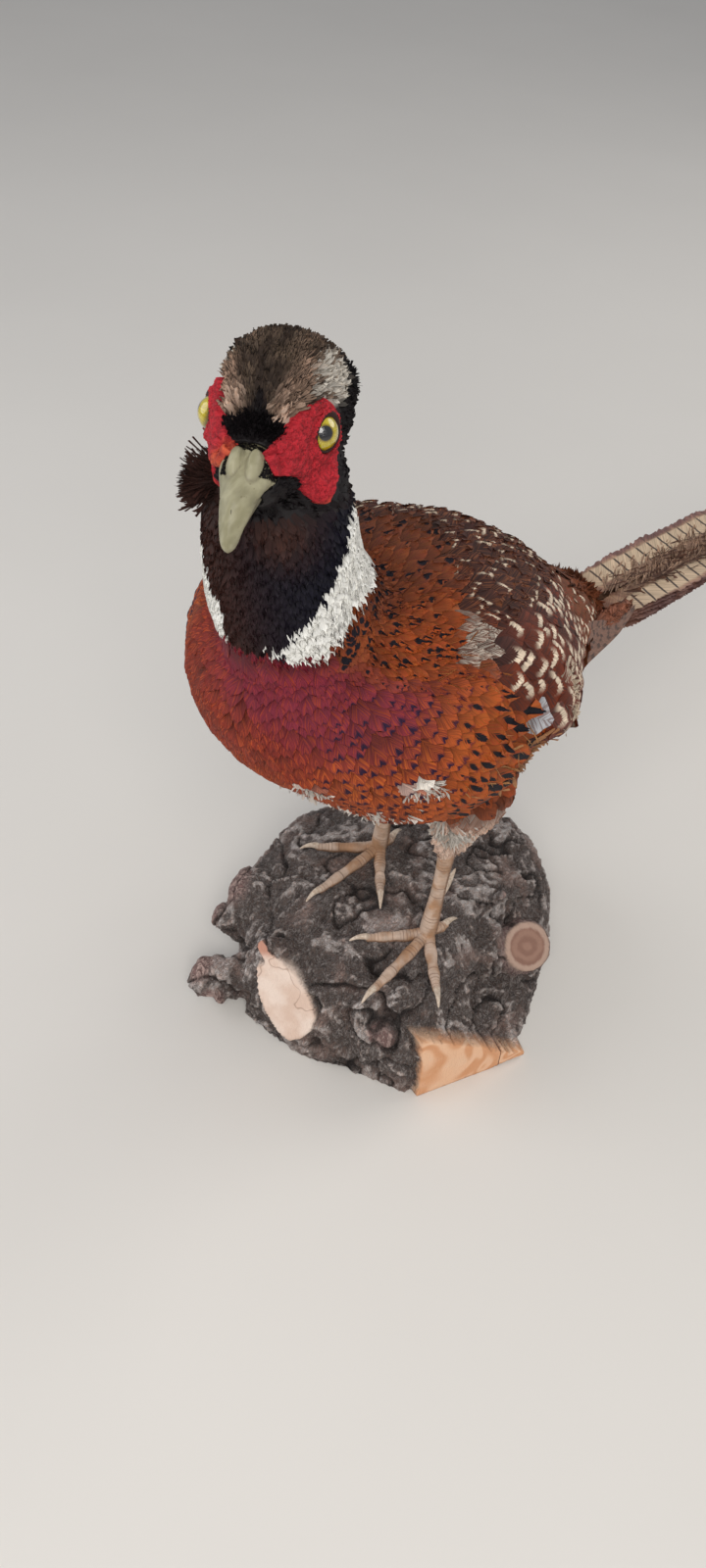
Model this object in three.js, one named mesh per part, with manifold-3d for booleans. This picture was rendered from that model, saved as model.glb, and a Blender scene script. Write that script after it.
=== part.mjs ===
// A mounted cock ring-necked pheasant, life size, standing on a piece of wood burl.
// Millimetres, +Z up. The bird looks towards -Y with its left side on +X, and z = 0 is the burl's flat underside.
import * as THREE from "three";
import { mergeVertices } from "three/addons/utils/BufferGeometryUtils.js";
import Module from "manifold-3d";

const wasm = await Module();
wasm.setup();

// ---------------------------------------------------------------- driving dimensions

const GAP = 0.3; // clearance between pieces that touch
const BARE_SKIN = 1.8; // thickness of the red skin on the face
const SOCKET_MARGIN = 0.9; // clearance round each eyeball
const BURL_HEIGHT = 84; // level that the toes stand on
const BURL_RADIUS = 94;
const BODY_HALF_WIDTH = 87;
const BACK_TO_BELLY = 148;
const NECK_HALF_WIDTH = 31;
const HEAD_HALF_WIDTH = 19; // across the eyes
const HEAD_TURN = 28.5; // degrees, towards the bird's left
const HEAD_NOD = 10; // degrees, bill down
const HEAD_PLACE = [9, -132, 430]; // midway between the eyes
const EYE_RADIUS = 6.2;
const EYE_SPACING = 31; // between the two eyeballs' centres
const BILL_LENGTH = 31; // culmen, from the forehead feathers to the tip
const HOCK_HEIGHT = 157;
const TARSUS_RADIUS = 4;
const MIDDLE_TOE = 50;
const CLAW_LENGTH = 10;
const TAIL_LENGTH = 475; // of the two central feathers
const TAIL_SLOPE = 9.5; // degrees below the horizontal
const FEATHER_THICKNESS = 1.1; // of a tail or flight feather along its shaft

const UP = new THREE.Vector3(0, 0, 1);
const BACKWARD = new THREE.Vector3(0, 1, 0);
const { degToRad } = THREE.MathUtils;

// ---------------------------------------------------------------- materials

const finish = (color, roughness, metalness = 0) =>
  new THREE.MeshStandardMaterial({ color, roughness, metalness });

const MATERIALS = {
  crown: finish(0x62574b, 0.9),
  darkNeck: finish(0x1f1b22, 0.5),
  whiteRing: finish(0xe6e2da, 0.9),
  copper: finish(0x8e3a14, 0.5),
  gold: finish(0xb4581c, 0.6),
  maroon: finish(0x5a2a1c, 0.7),
  wing: finish(0x7a3418, 0.7),
  quill: finish(0x8a7a66, 0.7),
  tail: finish(0xa8957a, 0.7),
  redSkin: finish(0xc01f2b, 0.8),
  iris: finish(0xc8b53a, 0.1),
  bill: finish(0xb5b48c, 0.5),
  scales: finish(0x8c6f4c, 0.6),
  claw: finish(0xb9a58a, 0.5),
  bark: finish(0x837d78, 0.9),
};

// ---------------------------------------------------------------- solids

/** A closed geometry as a manifold-3d solid. */
function solidOf(geometry) {
  const bare = new THREE.BufferGeometry();
  bare.setAttribute("position", geometry.getAttribute("position"));
  bare.setIndex(geometry.index);
  const merged = mergeVertices(bare, 1e-3);
  const mesh = new wasm.Mesh({
    numProp: 3,
    vertProperties: new Float32Array(merged.getAttribute("position").array),
    triVerts: new Uint32Array(merged.index.array),
  });
  return new wasm.Manifold(mesh);
}

/** A manifold-3d solid as a three.js geometry. */
function geometryOf(solid) {
  const mesh = solid.getMesh();
  const geometry = new THREE.BufferGeometry();
  geometry.setAttribute("position", new THREE.BufferAttribute(new Float32Array(mesh.vertProperties), 3));
  geometry.setIndex(new THREE.BufferAttribute(new Uint32Array(mesh.triVerts), 1));
  geometry.computeVertexNormals();
  return geometry;
}

/** The geometry with its surface moved outwards by `distance`. */
function grown(geometry, distance) {
  const bare = new THREE.BufferGeometry();
  bare.setAttribute("position", geometry.getAttribute("position"));
  bare.setIndex(geometry.index);
  const merged = mergeVertices(bare, 1e-3);
  merged.computeVertexNormals();
  const position = merged.getAttribute("position");
  const normal = merged.getAttribute("normal");
  for (let i = 0; i < position.count; i++) {
    position.setXYZ(
      i,
      position.getX(i) + distance * normal.getX(i),
      position.getY(i) + distance * normal.getY(i),
      position.getZ(i) + distance * normal.getZ(i),
    );
  }
  return merged;
}

/** The largest body of a cut solid: the slivers that a cut leaves beside it are dropped. */
function mainBody(solid) {
  return solid.decompose().reduce((largest, body) => (body.volume() > largest.volume() ? body : largest));
}

/** The geometry with its neighbours, and the gap round them, cut away. */
function clearOf(geometry, ...neighbours) {
  let left = solidOf(geometry);
  for (const neighbour of neighbours) left = left.subtract(solidOf(grown(neighbour, GAP)));
  return geometryOf(mainBody(left));
}

function overlapOf(first, second) {
  return geometryOf(solidOf(first).intersect(solidOf(second)));
}

function joined(...geometries) {
  return geometryOf(geometries.map(solidOf).reduce((whole, piece) => whole.add(piece)));
}

/** A huge block whose one face passes through `point` and looks against `outward`. */
function everythingBeyond(point, outward) {
  const side = 1500;
  const block = new THREE.BoxGeometry(side, side, side).translate(0, 0, side / 2);
  const turn = new THREE.Quaternion().setFromUnitVectors(UP, outward.clone().normalize());
  return block.applyQuaternion(turn).translate(point.x, point.y, point.z);
}

/** What lies before the plane through `point`, seen against `outward`, half a gap short of it. */
function upTo(geometry, point, outward) {
  const half = outward.clone().normalize().multiplyScalar(-GAP / 2);
  const cutter = everythingBeyond(point.clone().add(half), outward);
  return geometryOf(mainBody(solidOf(geometry).subtract(solidOf(cutter))));
}

/** The geometry parted by planes through `points` across `direction`, with a gap at each cut. */
function parted(geometry, points, direction) {
  const against = direction.clone().negate();
  const ends = points.map((point) => upTo(geometry, point, direction));
  const pieces = ends.map((end, i) => (i === 0 ? end : upTo(end, points[i - 1], against)));
  return [...pieces, upTo(geometry, points[points.length - 1], against)];
}

// ---------------------------------------------------------------- rounded bodies

/** One cross-section of a rounded body: its centre, its half width, and its reach above and below the centre. */
const station = (x, y, z, wide, up, down = up) => ({ x, y, z, wide, up, down });

/** The same station on the bird's other side. */
const mirrored = (one) => ({ ...one, x: -one.x });

/** A closed rounded body laid over stations. `round` is the share of its length over which each end closes,
 *  `bow` the drop of its two edges, and `square` below 1 makes its cross-section boxier than an ellipse. */
function rounded(stations, options = {}) {
  const { around = 14, along = 12, round = [0.12, 0.12], upright = UP, bow = 0, square = 1 } = options;
  const path = new THREE.CatmullRomCurve3(stations.map((s) => new THREE.Vector3(s.x, s.y, s.z)));
  const sizes = new THREE.CatmullRomCurve3(stations.map((s) => new THREE.Vector3(s.wide, s.up, s.down)));
  const body = new THREE.SphereGeometry(1, around, along);
  const position = body.getAttribute("position");
  const place = new THREE.Vector3();
  for (let row = 0; row <= along; row++) {
    const even = row / along;
    const t = THREE.MathUtils.lerp(even, (1 - Math.cos(Math.PI * even)) / 2, 0.6);
    const closing = roundEnd(t, round[0]) * roundEnd(1 - t, round[1]);
    const centre = path.getPoint(t);
    const size = sizes.getPoint(t);
    const travel = path.getTangent(t);
    const side = new THREE.Vector3().crossVectors(travel, upright).normalize();
    const top = new THREE.Vector3().crossVectors(side, travel);
    for (let column = 0; column <= around; column++) {
      const angle = (column / around) * 2 * Math.PI;
      const across = boxier(Math.cos(angle), square);
      const rise = boxier(Math.sin(angle), square);
      const reach = rise > 0 ? size.y : size.z;
      place.copy(centre);
      place.addScaledVector(side, across * size.x * closing);
      place.addScaledVector(top, rise * reach * closing - bow * across * across * closing);
      position.setXYZ(row * (around + 1) + column, place.x, place.y, place.z);
    }
  }
  body.deleteAttribute("normal");
  body.deleteAttribute("uv");
  return body;
}

const roundEnd = (distance, share) => (distance >= share ? 1 : Math.sqrt(1 - (1 - distance / share) ** 2));

const boxier = (value, power) => Math.sign(value) * Math.abs(value) ** power;

/** Adds a named mesh to a group. */
function add(group, name, geometry, material) {
  const mesh = new THREE.Mesh(geometry, material);
  mesh.name = name;
  group.add(mesh);
}

const pheasant = new THREE.Group();

// ---------------------------------------------------------------- trunk

const wide = (share) => share * BODY_HALF_WIDTH;
const deep = (share) => share * BACK_TO_BELLY;

const trunkWhole = rounded(
  [
    station(0, -138, 306, wide(0.33), deep(0.17), deep(0.15)),
    station(0, -112, 298, wide(0.67), deep(0.33), deep(0.29)),
    station(0, -72, 289, wide(0.95), deep(0.41), deep(0.46)),
    station(0, -30, 277, wide(0.94), deep(0.43), deep(0.56)),
    station(0, 15, 261, wide(0.7), deep(0.38), deep(0.53)),
    station(0, 58, 246, wide(0.46), deep(0.26), deep(0.4)),
    station(2, 96, 231, wide(0.31), deep(0.16), deep(0.24)),
    station(4, 124, 221, wide(0.26), deep(0.11), deep(0.13)),
  ],
  { around: 18, along: 12, round: [0.14, 0.05] },
);

// ---------------------------------------------------------------- head, in a frame of its own

const headTurn = new THREE.Group();
headTurn.position.set(...HEAD_PLACE);
headTurn.rotation.z = degToRad(HEAD_TURN);
const headFrame = new THREE.Group();
headFrame.rotation.x = degToRad(HEAD_NOD);
headTurn.add(headFrame);
pheasant.add(headTurn);
pheasant.updateMatrixWorld(true);

const inBodyFrame = (geometry) => geometry.clone().applyMatrix4(headFrame.matrixWorld);

const skull = rounded(
  [
    station(3, 36, -4, 0.75 * HEAD_HALF_WIDTH, 12, 22),
    station(3, 24, -2, 1.15 * HEAD_HALF_WIDTH, 20, 31),
    station(2, 10, -1, 1.08 * HEAD_HALF_WIDTH, 26, 34),
    station(0, -4, -3, 0.89 * HEAD_HALF_WIDTH, 25, 30),
    station(0, -17, -4, 0.7 * HEAD_HALF_WIDTH, 18, 17),
    station(0, -30, 1, 0.44 * HEAD_HALF_WIDTH, 8, 9),
  ],
  { around: 16, along: 10, round: [0.22, 0.12], square: 0.92 },
);

function eyeball(side) {
  return new THREE.SphereGeometry(EYE_RADIUS, 12, 8).translate((side * EYE_SPACING) / 2, -1, 0);
}

const billUpper = rounded(
  [
    station(0, -18, 0, 9.6, 6, 8),
    station(0, -27, 1, 8.8, 7.5, 7),
    station(0, -36, -1, 6.8, 7, 5.5),
    station(0, -44, -5, 4.6, 5, 4),
    station(0, -19 - BILL_LENGTH, -12, 2.2, 2.4, 1.6),
  ],
  { around: 10, along: 8, round: [0.1, 0.12] },
);

const billLower = rounded(
  [
    station(0, -15, -8, 7.5, 3, 4),
    station(0, -25, -9, 6, 3, 3.5),
    station(0, -34, -10.5, 4, 2.5, 2.5),
    station(0, -41, -13, 2, 1.8, 1.4),
  ],
  { around: 10, along: 6 },
);

/** The outline of one cheek's bare red skin, from the lores up over the eye and down into its lobe, as a prism. */
function wattleOutline(side) {
  const outline = new THREE.Shape();
  outline.moveTo(-26, 3);
  outline.splineThru([
    new THREE.Vector2(-13, 9),
    new THREE.Vector2(1, 12),
    new THREE.Vector2(13, 7),
    new THREE.Vector2(11, -8),
    new THREE.Vector2(0, -25),
    new THREE.Vector2(-9, -31),
    new THREE.Vector2(-14, -24),
    new THREE.Vector2(-13, -12),
    new THREE.Vector2(-20, -6),
    new THREE.Vector2(-26, 3),
  ]);
  const reach = 36;
  const prism = new THREE.ExtrudeGeometry(outline, { depth: reach, bevelEnabled: false, curveSegments: 1 });
  prism.applyMatrix4(new THREE.Matrix4().makeBasis(BACKWARD, UP, new THREE.Vector3(1, 0, 0)));
  return prism.translate(side > 0 ? 4 : -4 - reach, 0, 0);
}

function earTuft(side) {
  return rounded(
    [
      station(side * 17 + 2, 22, 3, 4, 6),
      station(side * 19 + 2, 29, 3, 4, 6),
      station(side * 20 + 2, 37, 1, 1.4, 2),
    ],
    { around: 6, along: 5 },
  );
}

const sides = [
  ["left", 1],
  ["right", -1],
];

// ---------------------------------------------------------------- neck

const neckWhole = rounded(
  [
    station(0, -86, 300, NECK_HALF_WIDTH * 1.3, 42, 42),
    station(0, -98, 328, NECK_HALF_WIDTH * 1.14, 36, 37),
    station(1, -110, 352, NECK_HALF_WIDTH * 1.04, 31, 33),
    station(3, -118, 378, NECK_HALF_WIDTH * 0.95, 28, 29),
    station(6, -122, 402, NECK_HALF_WIDTH * 0.85, 25, 26),
    station(8, -124, 424, NECK_HALF_WIDTH * 0.6, 16, 16),
  ],
  { around: 16, along: 9, upright: BACKWARD, round: [0.05, 0.1] },
);

// ---------------------------------------------------------------- wings

/** The folded wing: the shoulder tucked beside the breast, the coverts along the flank. */
function foldedWing(side) {
  const stations = [
    station(53, -64, 322, 9, 13, 15),
    station(68, -28, 298, 12, 26, 29),
    station(55, 8, 281, 12, 31, 32),
    station(36, 48, 262, 11, 26, 27),
    station(24, 88, 246, 8, 16, 18),
    station(17, 120, 232, 4, 7, 8),
  ];
  const placed = side > 0 ? stations : stations.map(mirrored);
  const lean = new THREE.Vector3(-0.6 * side, 0, 1).normalize();
  return rounded(placed, { around: 12, along: 10, round: [0.16, 0.1], upright: lean });
}

/** The flight feathers' points, shut under the coverts and crossing over the tail's root. */
function flightFeathers(side) {
  const stations = [
    station(40, 44, 242, 5, 12, 14),
    station(31, 84, 235, 4, 11, 12),
    station(28, 122, 229, 2.4, 6, 6),
    station(25, 148, 224, 1, 2.5, 2.5),
  ];
  const placed = side > 0 ? stations : stations.map(mirrored);
  return rounded(placed, { around: 8, along: 6, round: [0.1, 0.1] });
}

// ---------------------------------------------------------------- tail

const tailRoot = new THREE.Vector3(4, 112, 226);

/** The tail's pairs, from the central one out and down to the short outer ones. `lie` is how far each feather's
 *  shaft is from the midline, as a share of its half width, and `splay` its outward angle in degrees. */
const TAIL_PAIRS = [
  { name: "central", length: TAIL_LENGTH, width: 32, lie: 0.25, splay: 0 },
  { name: "second", length: 0.9 * TAIL_LENGTH, width: 25, lie: 1, splay: 0.2 },
  { name: "third", length: 0.72 * TAIL_LENGTH, width: 25, lie: 1, splay: 0.5 },
  { name: "fourth", length: 0.53 * TAIL_LENGTH, width: 24, lie: 1, splay: 1 },
  { name: "outer", length: 0.36 * TAIL_LENGTH, width: 23, lie: 1, splay: 1.8 },
];

const tailLayer = FEATHER_THICKNESS + 1;
const tailDepth = tailLayer * (TAIL_PAIRS.length + 1);

function tailFeather(pair, rank, side) {
  const layer = rank === 0 && side > 0 ? 0 : rank + 1;
  const outward = Math.sin(degToRad(pair.splay));
  const slope = Math.tan(degToRad(TAIL_SLOPE));
  const at = (share, widthShare) => {
    const run = share * pair.length;
    const half = (widthShare * pair.width) / 2;
    const x = tailRoot.x + side * (pair.lie * half + GAP + run * outward);
    const sag = 14 * (run / TAIL_LENGTH) ** 2;
    const z = tailRoot.z + 4 - layer * tailLayer - run * slope - sag;
    return station(x, tailRoot.y + run, z, half, FEATHER_THICKNESS / 2);
  };
  return rounded([at(0, 0.5), at(0.2, 1), at(0.45, 0.95), at(0.7, 0.78), at(0.88, 0.5), at(1, 0.16)], {
    around: 6,
    along: 9,
    round: [0.02, 0.05],
    bow: 0.8,
    square: 0.7,
  });
}

/** The pocket in the rump that all the tail's quills grow out of. */
function tailPocket() {
  const { x, y, z } = tailRoot;
  const middle = z + 5 - tailDepth / 2;
  const half = tailDepth / 2 + 2;
  return rounded([station(x, y - 8, middle + 2, 13, half), station(x, y + 40, middle - 7, 26, half)], {
    around: 8,
    along: 4,
    round: [0.05, 0.05],
    square: 0.6,
  });
}

// ---------------------------------------------------------------- legs

/** Each leg's foot: where the tarsus meets the toes, where the hock is, and the foot's own heading in degrees. */
const LEGS = {
  left: { side: 1, foot: new THREE.Vector3(33, -19, BURL_HEIGHT + 9), hock: [32, -12], heading: 2 },
  right: { side: -1, foot: new THREE.Vector3(-28, 12, BURL_HEIGHT + 9), hock: [-27, 14], heading: 5 },
};

function thigh(leg) {
  const [x, y] = leg.hock;
  return rounded(
    [
      station(leg.side * 40, y + 8, 214, 24, 30, 32),
      station(leg.side * 36, y + 6, 186, 19, 25, 26),
      station(x, y + 2, HOCK_HEIGHT + 8, 12, 15, 15),
      station(x, y, HOCK_HEIGHT - 12, 7, 8, 8),
    ],
    { around: 10, along: 6, upright: BACKWARD, round: [0.2, 0.15] },
  );
}

function tarsus(leg) {
  const [x, y] = leg.hock;
  const { foot } = leg;
  return rounded(
    [
      station(x, y, HOCK_HEIGHT, 1.3 * TARSUS_RADIUS, 1.5 * TARSUS_RADIUS),
      station(x, y - 1, HOCK_HEIGHT - 16, TARSUS_RADIUS, 1.15 * TARSUS_RADIUS),
      station((x + foot.x) / 2, (y + foot.y) / 2, HOCK_HEIGHT - 38, 0.95 * TARSUS_RADIUS, 1.05 * TARSUS_RADIUS),
      station(foot.x, foot.y, foot.z + 2, 1.3 * TARSUS_RADIUS, 1.2 * TARSUS_RADIUS),
      station(foot.x, foot.y - 1, foot.z - 5, TARSUS_RADIUS, TARSUS_RADIUS),
    ],
    { around: 8, along: 7, upright: BACKWARD, round: [0.1, 0.1] },
  );
}

/** The spur on the back of the tarsus. */
function spur(leg) {
  const [x, y] = leg.hock;
  const back = y + 0.9 * TARSUS_RADIUS;
  return rounded(
    [
      station(x, back - 2, 118, 2.6, 2.6),
      station(x - leg.side, back + 5, 119, 2, 2),
      station(x - 2 * leg.side, back + 11, 123, 0.6, 0.6),
    ],
    { around: 6, along: 4 },
  );
}

/** The toes, each with its own direction (degrees from straight ahead, outwards positive) and its length. */
const TOES = [
  { name: "middle", turn: 0, length: MIDDLE_TOE },
  { name: "inner", turn: -46, length: 0.7 * MIDDLE_TOE },
  { name: "outer", turn: 44, length: 0.76 * MIDDLE_TOE },
  { name: "hind", turn: 170, length: 0.3 * MIDDLE_TOE },
];

/** Places along a toe in the ground plane: `run` from the foot's joint, `rise` above the burl. */
function alongToe(leg, toe, run, rise) {
  const angle = degToRad(leg.heading * leg.side + toe.turn * leg.side);
  return [leg.foot.x + run * Math.sin(angle), leg.foot.y - run * Math.cos(angle), BURL_HEIGHT + rise];
}

function toeSolid(leg, toe) {
  const hind = toe.name === "hind";
  const start = hind ? 8 : 6.5;
  return rounded(
    [
      station(...alongToe(leg, toe, 0, start), 4, 3.6),
      station(...alongToe(leg, toe, 0.35 * toe.length, hind ? 6 : 4), 3.6, 3.2),
      station(...alongToe(leg, toe, 0.72 * toe.length, 3.2), 3.1, 2.9),
      station(...alongToe(leg, toe, toe.length, 3), 2.5, 2.5),
    ],
    { around: 6, along: 5 },
  );
}

function claw(leg, toe) {
  const from = toe.length - 2;
  return rounded(
    [
      station(...alongToe(leg, toe, from, 3.6), 1.9, 1.9),
      station(...alongToe(leg, toe, from + 0.5 * CLAW_LENGTH, 4), 1.4, 1.5),
      station(...alongToe(leg, toe, from + CLAW_LENGTH, 1.6), 0.45, 0.45),
    ],
    { around: 6, along: 4 },
  );
}

// ---------------------------------------------------------------- burl

/** Swellings of the burl's round outline: the angle from +X towards +Y, the reach beyond the round, the half spread. */
const BURL_LOBES = [
  { angle: -47, reach: 13, spread: 12 },
  { angle: -78, reach: 8, spread: 12 },
  { angle: -104, reach: 16, spread: 14 },
  { angle: -137, reach: 6, spread: 12 },
  { angle: -6, reach: 8, spread: 10 },
  { angle: 80, reach: 8, spread: 24 },
  { angle: 150, reach: -16, spread: 20 },
];

const burlCentre = new THREE.Vector3(-12, 20, 26);

function burlRadius(angle) {
  const swelling = (lobe) => {
    const turn = THREE.MathUtils.euclideanModulo(THREE.MathUtils.radToDeg(angle) - lobe.angle + 180, 360) - 180;
    return lobe.reach * Math.exp(-((turn / lobe.spread) ** 2));
  };
  return BURL_LOBES.reduce((radius, lobe) => radius + swelling(lobe), BURL_RADIUS);
}

/** The round lump of wood, flat on top and rounder below. */
function burlLump() {
  const around = 30;
  const rows = 12;
  const lump = new THREE.SphereGeometry(1, around, rows);
  lump.rotateX(Math.PI / 2);
  const position = lump.getAttribute("position");
  for (let i = 0; i < position.count; i++) {
    const angle = Math.atan2(position.getY(i), position.getX(i));
    const height = position.getZ(i);
    const spread = Math.sqrt(Math.max(0, 1 - height * height)) ** 0.6;
    const radius = burlRadius(angle) * spread;
    const rise = Math.sign(height) * Math.abs(height) ** 0.8 * (height > 0 ? BURL_HEIGHT - burlCentre.z : 80);
    position.setXYZ(
      i,
      burlCentre.x + radius * Math.cos(angle),
      burlCentre.y + radius * Math.sin(angle),
      burlCentre.z + rise,
    );
  }
  return lump;
}

/** A knob or cut branch of the burl: a short round body from `from` towards `to`. */
function branch(from, to, startRadius, endRadius, blunt = 0.12) {
  const middle = from.map((value, i) => (value + to[i]) / 2);
  return rounded(
    [
      station(...from, startRadius, startRadius),
      station(...middle, (startRadius + endRadius) / 2, (startRadius + endRadius) / 2),
      station(...to, endRadius, endRadius),
    ],
    { around: 10, along: 5, round: [0.2, blunt], upright: new THREE.Vector3(0.1, 0.2, 1).normalize() },
  );
}

/** Flat faces that the saw left: a point on each face and the way that it looks. */
const SAW_CUTS = [
  { point: new THREE.Vector3(77, -24, 34), outward: new THREE.Vector3(0.91, -0.41, 0.04) },
  { point: new THREE.Vector3(-15, -82, 48), outward: new THREE.Vector3(0.33, -0.91, 0.24) },
  { point: new THREE.Vector3(76, 0, 20), outward: new THREE.Vector3(0.85, -0.1, 0.5) },
];

function burl() {
  let wood = solidOf(burlLump());
  for (const cut of SAW_CUTS) wood = wood.subtract(solidOf(everythingBeyond(cut.point, cut.outward)));
  const growths = [
    branch([-46, -66, 26], [-80, -96, 16], 13, 10, 0.06),
    branch([-60, -30, 44], [-92, -50, 50], 30, 17, 0.3),
    branch([-50, 20, 44], [-84, 28, 50], 32, 27, 0.12),
    branch([44, 24, 50], [72, 36, 56], 20, 16, 0.06),
    branch([-26, -66, 64], [-33, -84, 80], 9, 5, 0.06),
    branch([40, 34, 70], [50, 37, 90], 6, 4, 0.06),
  ];
  for (const growth of growths) wood = wood.add(solidOf(growth));
  const floor = everythingBeyond(new THREE.Vector3(0, 0, 0), UP.clone().negate());
  return geometryOf(wood.subtract(solidOf(floor)));
}

// ---------------------------------------------------------------- the assembly

const wings = sides.map(([, side]) => foldedWing(side));
const tailFeathers = TAIL_PAIRS.flatMap((pair, rank) =>
  sides.map(([sideName, side]) => ({ name: `tail_${pair.name}_${sideName}`, shape: tailFeather(pair, rank, side) })),
);
for (const { name, shape } of tailFeathers) add(pheasant, name, shape, MATERIALS.tail);

const quillShapes = sides.map(([, side]) => flightFeathers(side));
const quills = quillShapes.map((shape, i) => clearOf(shape, wings[i], tailPocket()));
sides.forEach(([sideName], i) => {
  add(pheasant, `wing_${sideName}`, wings[i], MATERIALS.wing);
  add(pheasant, `primaries_${sideName}`, quills[i], MATERIALS.quill);
});

const trunk = clearOf(trunkWhole, ...wings, ...quillShapes, tailPocket());
const [breast, middle, rump] = parted(
  trunk,
  [new THREE.Vector3(0, -70, 0), new THREE.Vector3(0, 60, 0)],
  BACKWARD,
);
add(pheasant, "breast", breast, MATERIALS.copper);
add(pheasant, "trunk", middle, MATERIALS.gold);
add(pheasant, "rump", rump, MATERIALS.maroon);

// head and neck
const skullInBody = inBodyFrame(skull);
const neckFree = clearOf(neckWhole, trunkWhole, ...wings, skullInBody, ...[billLower].map(inBodyFrame));
const ringTilt = new THREE.Vector3(-0.16, -0.44, 0.88);
const [neckRing, neckTop] = parted(neckFree, [new THREE.Vector3(0, -106, 354)], ringTilt);
add(pheasant, "neck_ring", neckRing, MATERIALS.whiteRing);
add(pheasant, "neck", neckTop, MATERIALS.darkNeck);

const eyes = sides.map(([, side]) => eyeball(side));
const sockets = eyes.map((eye) => grown(eye, SOCKET_MARGIN - GAP));
const throat = neckWhole.clone().applyMatrix4(headFrame.matrixWorld.clone().invert());
const tufts = sides.map(([, side]) => clearOf(earTuft(side), skull));
const lowerBill = clearOf(billLower, billUpper);
add(headFrame, "head", clearOf(skull, billUpper, lowerBill, ...sockets), MATERIALS.crown);
add(headFrame, "bill_upper", billUpper, MATERIALS.bill);
add(headFrame, "bill_lower", lowerBill, MATERIALS.bill);
sides.forEach(([sideName, side], i) => {
  const thickened = joined(grown(skull, GAP + BARE_SKIN), grown(throat, GAP + BARE_SKIN));
  const skinLayer = overlapOf(thickened, wattleOutline(side));
  const wattle = clearOf(skinLayer, skull, throat, sockets[i], billUpper, lowerBill);
  add(headFrame, `eye_${sideName}`, eyes[i], MATERIALS.iris);
  add(headFrame, `wattle_${sideName}`, wattle, MATERIALS.redSkin);
  add(headFrame, `ear_tuft_${sideName}`, tufts[i], MATERIALS.darkNeck);
});

// legs
let wood = burl();
for (const [sideName, leg] of Object.entries(LEGS)) {
  const shank = tarsus(leg);
  const feathered = clearOf(thigh(leg), trunkWhole, shank, ...wings);
  add(pheasant, `thigh_${sideName}`, feathered, MATERIALS.gold);
  add(pheasant, `tarsus_${sideName}`, shank, MATERIALS.scales);
  add(pheasant, `spur_${sideName}`, clearOf(spur(leg), shank), MATERIALS.claw);
  const laid = [shank];
  for (const toe of TOES) {
    const nail = claw(leg, toe);
    const shape = clearOf(toeSolid(leg, toe), ...laid, nail);
    add(pheasant, `toe_${toe.name}_${sideName}`, shape, MATERIALS.scales);
    add(pheasant, `claw_${toe.name}_${sideName}`, nail, MATERIALS.claw);
    laid.push(toeSolid(leg, toe));
    wood = clearOf(wood, toeSolid(leg, toe), nail);
  }
  wood = clearOf(wood, shank);
}
add(pheasant, "base_burl", wood, MATERIALS.bark);

export default pheasant;
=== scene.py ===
import math

import bpy
import numpy as np
from mathutils import Matrix, Vector, noise
from mathutils.bvhtree import BVHTree


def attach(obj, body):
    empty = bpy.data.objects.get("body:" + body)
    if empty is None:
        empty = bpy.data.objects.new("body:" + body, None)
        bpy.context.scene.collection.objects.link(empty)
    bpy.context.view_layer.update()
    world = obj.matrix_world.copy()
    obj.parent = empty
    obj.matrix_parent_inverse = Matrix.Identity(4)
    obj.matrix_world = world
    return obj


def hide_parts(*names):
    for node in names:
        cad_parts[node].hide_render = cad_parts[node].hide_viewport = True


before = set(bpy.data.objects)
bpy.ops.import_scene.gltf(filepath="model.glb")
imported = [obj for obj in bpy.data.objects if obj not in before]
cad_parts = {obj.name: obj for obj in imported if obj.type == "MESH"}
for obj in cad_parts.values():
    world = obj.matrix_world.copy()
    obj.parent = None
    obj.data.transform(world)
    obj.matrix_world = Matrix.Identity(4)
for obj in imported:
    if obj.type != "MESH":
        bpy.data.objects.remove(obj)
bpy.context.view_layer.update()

# Lengths in this script are millimetres in the model's own frame: the bird looks along -Y, its left side
# is on +X, and the burl stands on z = 0. They turn into metres only when a mesh is written.
MM = 0.001

chance = np.random.default_rng(11)

SIDES = {"left": 1, "right": -1}


# ---------------------------------------------------------------- camera, floor and lights

CAMERA_PLACE = (0.2607, -0.4028, 0.630)
CAMERA_HEADING = 37.0  # degrees from +Y towards -X
CAMERA_TILT = 44.22  # degrees below the horizontal
CAMERA_ROLL = 5.54
LENS = 28.91


def place_camera():
    heading = math.radians(CAMERA_HEADING)
    tilt = math.radians(CAMERA_TILT)
    roll = math.radians(CAMERA_ROLL)
    ahead = Vector((-math.sin(heading) * math.cos(tilt), math.cos(heading) * math.cos(tilt), -math.sin(tilt)))
    level = Vector((math.cos(heading), math.sin(heading), 0))
    upright = level.cross(ahead)
    right = math.cos(roll) * level + math.sin(roll) * upright
    up = right.cross(ahead)
    data = bpy.data.cameras.new("camera")
    data.lens = LENS
    camera = bpy.data.objects.new("camera", data)
    turn = Matrix((right, up, -ahead)).transposed().to_4x4()
    camera.matrix_world = Matrix.Translation(CAMERA_PLACE) @ turn
    bpy.context.scene.collection.objects.link(camera)
    bpy.context.scene.camera = camera


def area_light(name, place, aim, size, power, colour):
    data = bpy.data.lights.new(name, "AREA")
    data.shape = "DISK"
    data.size = size
    data.energy = power
    data.color = colour
    light = bpy.data.objects.new(name, data)
    light.location = place
    light.rotation_euler = (Vector(aim) - Vector(place)).to_track_quat("-Z", "Y").to_euler()
    bpy.context.scene.collection.objects.link(light)


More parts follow.
